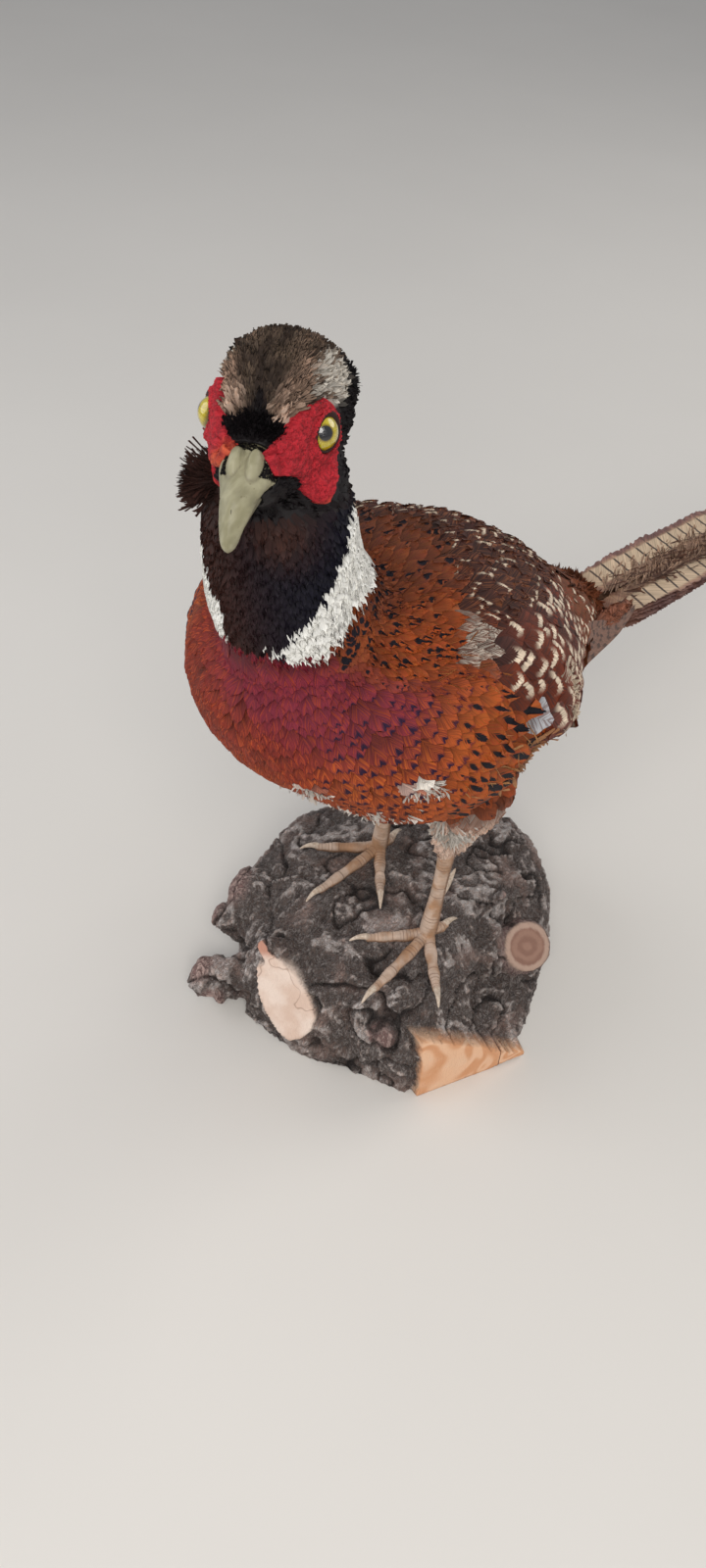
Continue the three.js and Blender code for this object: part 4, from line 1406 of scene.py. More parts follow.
def make_down():
    """Strands that lie over the coat in loose tufts."""
    coat = Coat()
    for middle, reach, count, length, width, stand, colour in TUFTS:
        roots = np.array(middle, float) + chance.normal(0, 0.5, (count, 3)) * np.array(reach, float)
        roots, normals = skin_surface.nearest(roots)
        lay_strands(
            coat, skin_surface, roots, lie_of(roots, normals), sized(roots, length, 0.35),
            sized(roots, width, 0.3), stand * chance.uniform(0.45, 1.0, count), colour, sink=-0.5, rows=7,
            round_tip=1.2, fray=0.0, crown=0.0, curl=1.1, wander=0.4, thickness=0.14, uneven=0.5,
        )
    coat.finish("loose_down", BODY_FEATHERS, "body_feathers")


def dress_skin(skin):
    """The skin under the feathers carries the same markings, darker as painted shade for the gaps between
    feathers.
    """
    points = points_of(skin)
    looks = looks_of(points, wing_share(points), ragged=0.4)
    # Painted shade: the coat's colours darkened where the skin shows between the feathers.
    shade = 0.7 + 0.12 * chance.random(len(points))
    margin = wattle_margin(points)
    bare = ramp(margin, 0.5, -1.5) * ramp(points[:, 2], HEAD_FOOT, HEAD_FOOT + 6)
    # The bare skin under the wattle's edge is dark red, darkened further as painted shade under the plate.
    ground = blend(looks.colours["ground"] * shade[:, None], SKIN_RED * 0.6, bare)
    give_colour(skin, "ground", ground)
    give_map(skin, "OFBake", skin_map(points))
    finish_piece(skin, SKIN, "body_feathers", *FLESH)


# ---------------------------------------------------------------- head furniture


def head_rays(surface, side, y, z):
    """Places on the side of the head over points (y, z) of its side view, back in the head's own frame."""
    starts = from_head(np.column_stack([np.full(len(y), 60.0 * side), y, z]))
    ways = np.tile(HEAD_FRAME @ np.array([-side, 0, 0.0]), (len(y), 1))
    return to_head(surface.outwards(starts, ways))


WATTLE_THICKNESS = 1.7
EYE_OPENING = 6.0  # half the width of the hole in the bare skin
EYE_AXIS = (0.93, -0.30, 0.22)  # the way that the left eye's opening faces, in the head's own frame
LID_ANGLE = math.radians(64)  # from that axis to the lids, at the middle of the eyeball
# The right eye looks far back, so that its darker outer iris, painted shade, faces the camera.
PUPIL_WAYS = {1: (0.52, -0.68, 0.515), -1: (-0.97, 0.08, 0.22)}  # where the left eye and the right one look


def eye_frame():
    """The left eye opening's axis, and its ways backwards and upwards, in the head's own frame."""
    out = unit(np.array(EYE_AXIS))
    back = unit(np.cross((0, 0, 1.0), out))
    return out, back, np.cross(out, back)


def face_seat():
    """The skin and the bill as one surface, for the bare red skin to lie on."""
    bill = swollen(("bill_upper", "bill_lower"), swell=-1.0)
    return brief_surface([(points_of(skin), [quads_of(skin)]), *bill])


def plate_faces(rings, around):
    """Faces of a plate with a hole: its top rings, the same rings below, and the two edges between them."""
    quads = grid_faces(rings, around, wrap=True)
    count = rings * around
    turn = np.arange(around)
    following = (turn + 1) % around
    rim = (rings - 1) * around
    outer = np.stack([rim + following, rim + turn, count + rim + turn, count + rim + following], -1)
    hole = np.stack([turn, following, count + following, count + turn], -1)
    return [quads, quads[:, ::-1] + count, outer, hole]


def wart_heights(points, size):
    """Rounded warts a given number of millimetres across: 1 on top of each, 0 between them."""
    near_middle = np.array([noise.voronoi(Vector(place) / size)[0][0] for place in points.tolist()])
    return np.clip(1 - near_middle / 0.62, 0, 1)


def make_wattle(name, side):
    """The bare red skin round one eye: a soft plate of small papillae, thinning to its edge."""
    around, rings = 300, 46
    angle = np.linspace(-math.pi, math.pi, around, endpoint=False)
    reach = wattle_reach(angle, side)
    kernel = np.array([1, 4, 6, 4, 1.0]) / 16
    for _ in range(3):
        reach = np.convolve(np.concatenate([reach[-2:], reach, reach[:2]]), kernel, "valid")
    reach = reach + 0.25 * np.sin(angle * 31) + 0.3 * np.sin(angle * 53 + 1)
    share = np.linspace(0, 1, rings)[:, None]
    out = EYE_OPENING + (reach[None] - EYE_OPENING) * share
    y = EYE_CENTRE[1] - out * np.cos(angle)[None]
    z = EYE_CENTRE[2] + out * np.sin(angle)[None]
    base = head_rays(face_surface, side, y.ravel(), z.ravel()).reshape(rings, around, 3)
    base[..., 0] *= side
    fallback = np.stack([np.full_like(y, 9.0), y, z], -1)
    base = np.where(np.isnan(base), fallback, base)
    for _ in range(4):
        base[1:-1] = 0.5 * base[1:-1] + 0.25 * (base[:-2] + base[2:])
        base = 0.5 * base + 0.25 * (np.roll(base, 1, 1) + np.roll(base, -1, 1))
    # Round the eye the skin rises to meet the lids, which face the way the eye does.
    axis = unit(np.array(EYE_AXIS))
    spoke = np.stack([np.zeros(around), -np.cos(angle), np.sin(angle)], -1)
    spoke = unit(spoke - (spoke @ axis)[:, None] * axis)
    height = 2.1 - 0.34 * (out - EYE_OPENING) - HEAD_DEPTH
    collar = EYE_CENTRE + axis * height[..., None] + spoke[None] * (out + 0.1)[..., None]
    base = blend(collar, base, ramp(out, EYE_OPENING + 0.3, EYE_OPENING + 5.5))
    ahead = np.roll(base, -1, 1) - np.roll(base, 1, 1)
    normal = unit(np.cross(ahead, np.gradient(base, axis=0)))
    normal = normal * np.sign((normal[..., :1]).mean())
    normal = unit(normal + np.array([0.7, 0, 0]))
    edge = (reach[None] - EYE_OPENING) * (1 - share)
    rise = HEAD_DEPTH + WATTLE_THICKNESS * np.sqrt(1 - (1 - np.minimum(edge / 2.4, 1)) ** 2)
    rise = rise - 2.2 * ramp(edge, 0.9, 0)
    places = base.reshape(-1, 3)
    warts = wart_heights(places, 1.25).reshape(rings, around)
    fine = wart_heights(places + 40, 0.75).reshape(rings, around)
    soft = np.array([noise.noise(Vector(p) * 0.35) for p in places.tolist()]).reshape(rings, around)
    rise = rise + np.minimum(edge / 1.2, 1) * (0.55 * warts + 0.3 * fine + 0.7 * soft - 0.3)
    top = base + normal * rise[..., None]
    under = base - normal * 0.6
    points = np.concatenate([top.reshape(-1, 3), under.reshape(-1, 3)]) * np.array([side, 1, 1])
    faces = plate_faces(rings, around)
    piece = new_piece(name, from_head(points), flipped(faces) if side > 0 else faces)
    lobe = ramp(z, -20, -25) * 0.8
    if side < 0:
        lobe = lobe + ramp(y, -18, -22) * 0.9
    ground = blend(WATTLE_RED, WATTLE_ORANGE, np.clip(lobe, 0, 1))
    # Deeper red where the soft swelling sinks: the skin's own mottling and painted shade in the hollows.
    ground = blend(ground, WATTLE_DEEP, 0.55 * ramp(soft, 0.1, -0.4))
    give_colour(piece, "ground", np.tile(ground.reshape(-1, 3), (2, 1)))
    give_vector(piece, "warts", np.tile(np.stack([warts, fine, edge], -1).reshape(-1, 3), (2, 1)))
    return piece


def make_eye(name, side):
    """A glass eye: a clear bulge over a yellow iris, with the pupil turned the way the bird looks."""
    rows, around = 48, 64
    gaze = unit(np.array(PUPIL_WAYS[side]))
    across = unit(np.cross(gaze, (0, 0, 1.0)))
    upwards = np.cross(across, gaze)
    tilt = np.linspace(0, math.pi, rows)[1:-1, None]
    turn = np.linspace(0, 2 * math.pi, around, endpoint=False)[None]
    bulge = 1 + 0.05 * np.exp(-((tilt / 0.5) ** 2))
    ring = [np.cos(tilt) * np.ones_like(turn), np.sin(tilt) * np.cos(turn), np.sin(tilt) * np.sin(turn)]
    ball = ring[0][..., None] * gaze + ring[1][..., None] * across + ring[2][..., None] * upwards
    centre = EYE_CENTRE * np.array([side, 1, 1])
    sphere = np.vstack([[gaze * 1.05], (ball * bulge[..., None]).reshape(-1, 3), [-gaze]])
    points = sphere * EYE_RADIUS + centre
    piece = new_piece(name, from_head(points), flipped(closed_faces(rows, around)))
    angle = np.concatenate([[0], np.repeat(tilt.ravel(), around), [math.pi]])
    spin = np.concatenate([[0], np.tile(np.linspace(0, 2 * math.pi, around, endpoint=False), rows - 2), [0]])
    give_vector(piece, "gaze", np.column_stack([np.degrees(angle), np.cos(spin), np.sin(spin)]))
    return piece


def make_lids(name, side):
    """The dark lid round the eye, heavier above, behind and below."""
    around, section = 96, 14
    angle = np.linspace(0, 2 * math.pi, around, endpoint=False)[:, None]
    turn = np.linspace(0, 2 * math.pi, section, endpoint=False)[None]
    out, back, up = eye_frame()
    heavy = 0.5 + 0.5 * ramp(np.sin(angle), 0.0, 1) + 0.65 * ramp(np.cos(angle), 0.0, 0.9)
    heavy = heavy + 0.25 * ramp(-np.sin(angle) + np.cos(angle), 0.4, 1.3)
    spread = EYE_RADIUS * math.sin(LID_ANGLE) + 0.3 + heavy * np.cos(turn)
    height = EYE_RADIUS * math.cos(LID_ANGLE) + 0.2 + 0.8 * heavy * np.sin(turn)
    spoke = np.cos(angle)[..., None] * back + np.sin(angle)[..., None] * up
    points = EYE_CENTRE + spoke * spread[..., None] + out * height[..., None]
    points = points.reshape(-1, 3) * np.array([side, 1, 1])
    faces = grid_faces(around + 1, section, wrap=True) % (around * section)
    if side > 0:
        faces = faces[:, ::-1]
    return new_piece(name, from_head(points), faces)


FLAP_PLACE = (3.2, -27.6)  # of the left flap over a nostril, in the head's own frame
FLAP_REACH = (2.4, 5.6)


def off_flap(x, y):
    """How far out a place is on the oval of the left flap, 1 at its edge."""
    return np.hypot((x - FLAP_PLACE[0]) / FLAP_REACH[0], (y - FLAP_PLACE[1]) / FLAP_REACH[1])


def make_bill():
    """Two horn sheaths: the upper hooks over the lower, with a swollen flap over each nostril."""
    upper = [(0, -16, 0, 6.6, 5.0, 7.4), (0, -20, 0.4, 7.6, 5.8, 7.2), (0, -24, 0.7, 8.7, 6.2, 6.6)]
    upper += [(0, -28, 0.4, 8.2, 6.0, 5.9), (0, -33, -0.8, 6.7, 5.8, 5.2), (0, -38, -2.6, 5.4, 5.5, 4.6)]
    upper += [(0, -43, -5.4, 4.2, 4.7, 3.9), (0, -47, -8.6, 3.0, 3.5, 2.8), (0, -49.2, -12.0, 1.8, 2.1, 1.5)]
    points, faces = rounded_body(upper, rows=120, around=96, ends=(0.06, 0.08), square=1.12)
    x, y, z = points.T
    rise = np.zeros(len(points))
    widen = np.zeros(len(points))
    # Painted shade: darker towards the bill's root and in a ring round the lip of each flap.
    shadow = 0.6 * ramp(y, -24, -20)
    for side in SIDES.values():
        # Each flap ends in a rounded lip that overhangs the nostril's slit.
        out = off_flap(x * side, y)
        top = ramp(z, -0.5, 2.5)
        rise += 2.3 * ramp(out, 1.04, 0.5) * top - 0.35 * np.exp(-(((out - 1.16) / 0.13) ** 2)) * top
        shadow = np.maximum(shadow, np.exp(-(((out - 1.1) / 0.1) ** 2)) * top * 0.5)
        gape = near(points, (side * 8.6, -24.5, -3.6), (3.2, 4.6, 1.7))
        widen += side * 3.0 * gape
        rise -= 0.5 * gape
    points = points + np.column_stack([widen, np.zeros(len(points)), rise])
    groove = np.exp(-((points[:, 2] + 3.4 + 0.25 * (points[:, 1] + 30)) ** 2) / 0.35)
    points[:, 0] -= np.sign(points[:, 0]) * 0.3 * groove
    points[:, 0] += 0.22 * noise_at(points, 0.35)
    points[:, 2] += 0.22 * noise_at(points, 0.35, 9.0)
    upper_piece = new_piece("bill_upper_sheath", from_head(points), faces)
    give_vector(upper_piece, "bill_shade", np.column_stack([shadow, shadow, shadow]))
    lower = [(0, -13, -8, 6.0, 3, 4), (0, -24, -8.6, 5.0, 3.4, 3.6)]
    lower += [(0, -33, -9, 3.6, 3.2, 3.0), (0, -40.5, -10.6, 2.2, 2.8, 1.6)]
    points, faces = rounded_body(lower, rows=60, around=48, ends=(0.06, 0.1))
    lower_piece = new_piece("bill_lower_sheath", from_head(points), faces)
    # Painted shade over the whole lower sheath, which lies under the upper.
    give_vector(lower_piece, "bill_shade", np.tile(0.55, (len(points), 3)))
    finish_piece(upper_piece, HORN, "bill", "bill_upper")
    finish_piece(lower_piece, HORN, "bill", "bill_lower")
    return upper_piece


def make_lores(sheath):
    """Short black velvet over the bill's root, from the brows down to the flaps and the gape's corners."""
    count = 13000
    turn = chance.uniform(-2.05, 2.05, count)
    along = chance.uniform(-34, -14.8, count)
    out = np.column_stack([np.sin(turn), np.zeros(count), np.cos(turn)])
    starts = from_head(out * 40 + np.column_stack([np.zeros(count), along, np.full(count, -2)]))
    coat = Coat()
    surfaces = (Surface(sheath), skin_surface)
    found = [to_head(surface.outwards(starts, -out @ HEAD_FRAME.T)) for surface in surfaces]
    depth = [np.nan_to_num(((places - [0, 0, -2]) * out).sum(-1), nan=-99.0) for places in found]
    for index, surface in enumerate(surfaces):
        x, y, z = np.nan_to_num(found[index], nan=99.0).T
        line = -24.5 - 0.92 * (z + 3.6) - 1.5 * (x < 0)
        flap = off_flap(np.abs(x), y)
        chosen = (depth[index] > depth[1 - index]) & (y > line) & (y < -14) & (z > -3.4)
        chosen = chosen & ((flap > 1.05) | (z < 2.5))
        chosen = chosen & ((np.abs(x) > 4) | (y > -23.6)) & ((x > -6.9) | (y > -18))
        chosen = chosen & (ramp(y, -14.5, -16.5) + ramp(np.abs(x - 1.5), 6, 3) > 0.5)
        roots = from_head(np.column_stack([x, y, z])[chosen])
        ones = np.ones(len(roots))
        lie = unit(np.column_stack([0.35 * np.sign(x[chosen]), ones, 0.4 * ones]))
        lay_strands(
            coat, surface, roots, lie @ HEAD_FRAME.T, sized(roots, 3.4, 0.4), sized(roots, 0.8, 0.3), 1.25,
            SOOT, sink=-0.2, rows=5, thickness=0.1, uneven=0.3, wander=0.3,
        )
    coat.finish("lore_plumes", NECK_FEATHERS, "neck_feathers")


def make_face():
    for name, side in SIDES.items():
        finish_piece(make_wattle(f"wattle_skin_{name}", side), WATTLE, "red_skin", f"wattle_{name}")
        finish_piece(make_eye(f"glass_eye_{name}", side), EYE_GLASS, "eye", f"eye_{name}")
        finish_piece(make_lids(f"eyelid_{name}", side), LID, "red_skin")
    make_lores(make_bill())


# ---------------------------------------------------------------- tail and flight feathers

TAIL_ROOT = np.array([4.0, 112.0, 226.0])
TAIL_LENGTH = 475.0
TAIL_SLOPE = math.tan(math.radians(9.5))
TAIL_WIDTHS = ((0, 0.2, 0.45, 0.7, 0.88, 1.0), (0.5, 1.0, 0.95, 0.78, 0.5, 0.12))
BAR_PITCH = 13.6

# Each tail feather: pair, side, length as a share of the longest, half width, middle at the root and its
# drift outwards at the tip, layer from the top, middle and half width of its pale strip, and how much painted
# shade darkens it, most on the lower layers and on the bird's right.
TAIL_FEATHERS = [
    ("central", "right", 1.0, 15.0, -6.0, 0.0, 0.0, -1.6, 6.4, 0.0),
    ("central", "left", 0.985, 13.0, 15.5, 0.0, 1.0, 4.6, 5.2, 0.08),
    ("second", "right", 0.9, 11.5, -9.5, -1.6, 2.0, 3.0, 4.0, 0.75),
    ("second", "left", 0.9, 11.5, 16.5, 1.5, 2.0, -3.0, 4.0, 0.5),
    ("third", "right", 0.72, 11.5, -8.5, -3.0, 3.0, 3.0, 4.0, 0.6),
    ("third", "left", 0.72, 11.5, 16.0, 3.0, 3.0, -3.0, 4.0, 0.5),
    ("fourth", "right", 0.53, 11.0, -8.0, -4.0, 4.0, 3.0, 4.0, 0.6),
    ("fourth", "left", 0.53, 11.0, 16.0, 4.0, 4.0, -3.0, 4.0, 0.5),
    ("outer", "right", 0.36, 10.5, -7.5, -4.5, 5.0, 3.0, 4.0, 0.6),
    ("outer", "left", 0.36, 10.5, 15.5, 4.5, 5.0, -3.0, 4.0, 0.5),
]


def make_tail_feather(pair, side_name, share, half, middle, drift, layer, strip, strip_half, dark):
    """One long vane: roofed over its shaft, its barbs frayed and parted here and there along both edges."""
    rows, columns = 230, 19
    length = share * TAIL_LENGTH
    side = SIDES[side_name]
    along = np.linspace(0, 1, rows)
    run = along * length
    across = np.linspace(-1, 1, columns)
    width = np.interp(along, *TAIL_WIDTHS) * half
    comb = chance.uniform(-1, 1, (rows, 2))
    splits = np.array([noise.noise(Vector((r * 0.07, layer * 9.0, 3.0 + side))) for r in run])
    fringe = 1 + 0.07 * comb + 0.14 * np.minimum(splits[:, None] - 0.1, 0) * np.array([1, 0.8])
    spread = np.where(across[None] < 0, fringe[:, :1], fringe[:, 1:]) ** np.abs(across[None]) ** 4
    x = TAIL_ROOT[0] + middle + drift * along[:, None] + across[None] * width[:, None] * spread
    shift = 2.2 * np.abs(across[None]) ** 1.5 + 1.3 * np.abs(across[None]) ** 6 * comb[:, :1]
    y = TAIL_ROOT[1] + run[:, None] + shift * np.sin(math.pi * along[:, None]) ** 0.5
    sag = 14 * (run / TAIL_LENGTH) ** 2
    z = TAIL_ROOT[2] + 4 - layer * 2.1 - run * TAIL_SLOPE - sag
    ripple = 0.25 * np.sin(run * 0.11 + layer)[:, None] * across[None] ** 2
    z = z[:, None] - (1.6 * across[None] ** 2) * (width[:, None] / half) + ripple
    z = z + 0.42 * np.exp(-((across[None] * width[:, None] / 1.1) ** 2))
    grid = np.stack([x, y, z], -1)[None]
    up = np.broadcast_to(np.array([0, 0.16, 1.0]), grid.shape)
    points = closed_blade(grid, up, 0.5)[0]
    from_strip = (across[None] * width[:, None] - strip)[..., None]
    runs = np.broadcast_to(run[:, None, None], (rows, columns, 1))
    size = np.broadcast_to(np.array([strip_half]), (rows, columns, 1))
    stripe = blade_values(np.concatenate([from_strip, runs, size], -1)[None])[0]
    vane = vane_map(1, along, across)[0]
    shade = blade_values(np.full((1, rows, columns, 1), dark))[0]
    piece = new_piece(f"tail_feather_{pair}_{side_name}", points, blade_template(rows, columns))
    piece.data.set_sharp_from_angle(angle=CREASE)
    give_vector(piece, "stripe", stripe)
    tone = np.column_stack([shade, np.full(len(points), layer * 7.3), np.full(len(points), side)])
    give_vector(piece, "tone", tone)
    give_map(piece, "vane", vane)
    tail_map = np.column_stack([0.05 + 0.9 * (vane[:, 0] * 0.08 + 0.1 * layer), 0.05 + 0.9 * vane[:, 1]])
    give_map(piece, "OFBake", tail_map)
    return finish_piece(piece, TAIL_VANE, "tail_feathers", f"tail_{pair}_{side_name}")


def make_tail():
    for row in TAIL_FEATHERS:
        make_tail_feather(*row)


# Hair-like feathers over the roots of the tail, and loose barbs between its pale strips: how many, the middle
# of their roots and how far these spread, their length and width, their slope to the bird's left, how far
# they lift, and their colours.
TAIL_HAIRS = [
    (520, (4, 106, 262), (10, 13, 0), 32, 3.0, 0.0, 2.2, RUMP_BROWN, MAROON),
    (460, (20, 98, 262), (9, 15, 0), 30, 2.6, 0.1, 2.6, paint(158, 92, 60), paint(104, 56, 38)),
    (360, (46, 84, 240), (4, 16, 8), 30, 2.4, 0.0, 2.0, paint(168, 104, 76), paint(116, 66, 48)),
    (200, (44, 118, 232), (4, 14, 6), 22, 1.6, 0.0, 1.4, paint(176, 122, 98), paint(112, 70, 54)),
    (300, (11, 235, 262), (6, 62, 0), 17, 0.8, -0.5, 1.3, paint(206, 168, 140), paint(150, 112, 90)),
    (170, (11, 225, 262), (7, 60, 0), 15, 0.6, 0.35, 1.5, paint(122, 84, 66), paint(74, 46, 36)),
    (240, (11, 430, 262), (5, 60, 0), 14, 0.8, -0.4, 1.0, paint(196, 158, 132), paint(140, 104, 84)),
]


def make_rump_fringe():
    """Long hair-like feathers that run off the rump, and the loose barbs of the tail's upper side."""
    tail = [f"tail_{pair}_{side}" for pair in ("central", "second") for side in SIDES]
    surface = brief_surface(swollen(["rump", "primaries_left", *tail]))
    coat = Coat()
    for count, middle, reach, length, width, slope, lift, colour, dark in TAIL_HAIRS:
        roots = chance.normal(middle, reach, (count, 3))
        roots[:, 2] -= np.clip(roots[:, 1] - 110, 0, None) * TAIL_SLOPE
        roots, normals = surface.nearest(roots)
        roots = roots[normals[:, 2] > 0.1]
        count = len(roots)
        turn = slope + chance.normal(0, 0.12, count)
        lie = np.column_stack([turn, np.ones(count), np.full(count, -0.2)])
        lay_strands(
            coat, surface, roots, lie, sized(roots, length, 0.4), sized(roots, width, 0.4),
            lift * chance.uniform(0.3, 1.0, count), colour, dark, streak=0.4, sink=-0.4,
            columns=5 if width > 1.5 else 3, round_tip=0.8, fray=0.3, crown=0.3, wander=0.16, thickness=0.14,
            uneven=0.4,
        )
    coat.finish("rump_fringe", BODY_FEATHERS, "body_feathers")


FLIGHT_COUNT = 8
FLIGHT_HALF_WIDTH = 5.2
FLIGHT_LINE = [(40, 40, 243), (33, 84, 236), (29, 120, 229), (25, 150, 223.5)]  # of the fold, on the left


def make_flight_feathers(name, node, side):
    """The folded flight feathers that show beyond the coverts, laid over each other beside the rump."""
    coat = Coat()
    count = FLIGHT_COUNT
    step = np.linspace(0, 1, count)
    rows, columns = 26, 9
    along = np.linspace(0, 1, rows)
    across = np.linspace(-1, 1, columns)
    line = smooth_path(FLIGHT_LINE, rows)
    depth = np.interp(along, (0, 0.35, 0.75, 1), (13, 12, 7, 2))
    half = np.interp(along, (0, 0.3, 0.75, 0.93, 1), (0.6, 1, 0.9, 0.6, 0.2)) * FLIGHT_HALF_WIDTH
    lean = unit(np.array([-0.45, 0.0, 1.0]))
    out = np.array([0.9, 0.15, 0.42])
    layers = []
    for k, share in enumerate(step):
        length = 1 - 0.55 * (1 - share) ** 1.2
        t = along * length
        centre = np.column_stack([np.interp(t, along, line[:, axis]) for axis in range(3)])
        fan = (1 - 2 * share) * np.interp(t, along, depth)
        centre[:, 2] += fan * 0.72
        centre[:, 0] += 1.6 * (1 - share) + 1.2 + 0.25 * k
        grid = centre[:, None] + across[None, :, None] * half[:, None, None] * lean
        grid = grid - out * (0.5 * across[None, :, None] ** 2)
        comb = chance.uniform(-0.5, 0.5, (1, columns, 1)) * along[:, None, None] ** 4 * 3
        grid = grid + np.array([0, 1.0, 0]) * comb
        layers.append(grid)
    grid = np.stack(layers)
    grid[..., 0] *= side
    out = np.array([0.9 * side, 0.1, 0.4])
    normals = np.broadcast_to(out, grid.shape)
    points = closed_blade(grid, normals, 0.4)
    faces = blade_template(rows, columns) if side > 0 else flipped(blade_template(rows, columns))
    looks = Looks(count)
    looks.lay(np.ones(count), ground=paint(124, 88, 72), rim=RUMP_BROWN, mark=CREAM, edging=0.1)
    coat.add(points, faces, vane_map(count, along, across), skin_map(grid[:, 3, 4]), looks.take())
    coat.finish(name, FLIGHT_FEATHERS, "flight_feathers", node)


# ---------------------------------------------------------------- legs and feet

BURL_TOP = 84.0
TOES = (("middle", 0, 50.0), ("inner", -46, 35.0), ("outer", 44, 38.0), ("hind", 170, 15.0))
FEET = {
    "left": ((33.0, -19.0), (32.0, -12.0), 2),
    "right": ((-28.0, 12.0), (-27.0, 14.0), 5),
}


def scutes(points, rows, around, pitch, along, front, height):
    """Raises overlapping plates across the front of a limb and small round scales behind."""
    inner = points[1:-1].reshape(rows - 2, around, 3)
    centre = inner.mean(1, keepdims=True)
    out = unit(inner - centre)
    phase = (along / pitch) % 1.0
    plate = height * (phase**0.7 - 0.5) * (1 - ramp(phase, 0.9, 1.0))
    facing = ramp((out * front).sum(-1), -0.15, 0.35)
    grain = np.array([noise.noise(Vector(p) * 1.1) for p in inner.reshape(-1, 3)]).reshape(rows - 2, around)
    lift = plate[:, None] * facing + 0.35 * grain * (1 - 0.6 * facing)
    raised = inner + out * lift[..., None]
    points = points.copy()
    points[1:-1] = raised.reshape(-1, 3)
    mask = np.concatenate([[0], (facing * ramp(np.abs(phase - 0.97), 0.12, 0.02)[:, None]).ravel(), [0]])
    face = np.concatenate([[0], facing.ravel(), [0]])
    return points, mask, face


def make_limb(name, stations, pitch, front, height, node, rows, upright=(0, 0, 1)):
    around = 32
    points, faces = rounded_body(stations, rows, around, upright, ends=(0.1, 0.1))
    middle = points[1:-1].reshape(rows - 2, around, 3).mean(1)
    along = np.concatenate([[0], np.cumsum(np.linalg.norm(np.diff(middle, axis=0), axis=1))])
    points, groove, facing = scutes(points, rows, around, pitch, along, np.array(front, float), height)
    piece = new_piece(name, points, faces)
    share = np.concatenate([[0], np.repeat(along / along[-1], around), [1]])
    give_vector(piece, "scute", np.column_stack([groove, facing, share]))
    return finish_piece(piece, LEG_SCALES, "leg_scales", node)


def make_legs():
    for name, side in SIDES.items():
        foot, hock, heading = FEET[name]
        fx, fy = foot
        x, y = hock
        middle_x, middle_y = (x + fx) / 2, (y + fy) / 2
        shank = [(x, y, 157, 5.2, 6, 6), (x, y - 1, 141, 4, 4.6, 4.6)]
        shank += [(middle_x, middle_y, 119, 3.8, 4.2, 4.2)]
        shank += [(fx, fy, 97, 4.9, 4.7, 4.7), (fx, fy - 1, 88, 4.2, 4, 4)]
        node = f"tarsus_{name}"
        make_limb(f"shank_{name}", shank, 2.2, (0, -1, 0.1), 0.42, node, rows=240, upright=(0, 1, 0))
        for toe, turn, length in TOES:
            angle = math.radians((heading + turn) * side)

            def place(run, rise):
                return fx + run * math.sin(angle), fy - run * math.cos(angle), BURL_TOP + rise

            start = 8 if toe == "hind" else 6.5
            knuckles = [(0, start, 4, 3.8), (0.2 * length, start - 1.6, 3.2, 3.1)]
            knuckles += [(0.35 * length, 6 if toe == "hind" else 4, 3.5, 3.2), (0.53 * length, 3.6, 2.7, 2.8)]
            knuckles += [(0.7 * length, 3.3, 3.1, 2.9), (0.86 * length, 3.0, 2.2, 2.4), (length, 3, 2.4, 2.4)]
            stations = [(*place(run, rise), wide, deep, deep) for run, rise, wide, deep in knuckles]
            rows = 60 if toe == "hind" else 130
            make_limb(f"digit_{toe}_{name}", stations, 2.0, (0, 0, 1), 0.36, f"toe_{toe}_{name}", rows=rows)
            base = length - 2.5
            nail = [(*place(base, 3.8), 2.0, 2.0, 1.9), (*place(base + 3, 4.3), 1.75, 1.8, 1.6)]
            nail += [(*place(base + 6.5, 3.8), 1.25, 1.3, 1.2), (*place(base + 9.6, 2.0), 0.7, 0.7, 0.6)]
            nail += [(*place(base + 11, 0.9), 0.3, 0.3, 0.3)]
            points, faces = rounded_body(nail, rows=30, around=20, ends=(0.08, 0.12))
            piece = new_piece(f"nail_{toe}_{name}", points, faces)
            finish_piece(piece, CLAW_HORN, "claw", f"claw_{toe}_{name}")
        back = y + 3.6
        horn = [(middle_x, middle_y + 1.5, 117.2, 2.9, 2.9, 2.9), (x - side, back + 3, 118.6, 2.4, 2.4, 2.4)]
        horn += [(x - 1.6 * side, back + 8, 120.6, 1.3, 1.3, 1.3)]
        horn += [(x - 2 * side, back + 11.3, 123.4, 0.4, 0.4, 0.4)]
        points, faces = rounded_body(horn, rows=30, around=20)
        finish_piece(new_piece(f"spur_horn_{name}", points, faces), CLAW_HORN, "claw", f"spur_{name}")


# ---------------------------------------------------------------- burl

PEAR_FOOT = np.array([-6.0, -86.0, 16.0])
PEAR_TOP = np.array([-32.0, -79.0, 78.0])
PEAR_MIDDLE = np.array([-15.0, -82.0, 48.0])
PEAR_OUT = unit(np.array([0.33, -0.91, 0.24]))
PEAR_SHAPE = (  # up the cut, its middle to the bird's left, and half its width
    (0.0, 0.06, 0.14, 0.3, 0.5, 0.7, 0.83, 0.92, 1.0, 1.08),
    (1.0, 3.0, 4.5, 5.0, 3.5, 2.0, -0.5, -3.2, -3.0, -2.0),
    (-2.0, 6.0, 11.0, 15.6, 16.2, 13.0, 8.3, 4.8, 3.6, -1.0),
)
SAWN_POINT = np.array([77.0, -24.0, 34.0])
SAWN_OUT = unit(np.array([0.91, -0.41, 0.04]))
SAWN_TOP = (  # along Y, the height of the sawn face's edge
    (-52, -48, -35, -27, -22, -3, 12, 20),
    (40, 71, 72, 66, 41, 27, 16, -5),
)
DISC_CENTRE = np.array([66.3, 40.0, 53.1])
DISC_OUT = unit(np.array([0.62, -0.32, 0.72]))
DISC_RADIUS = 14.6
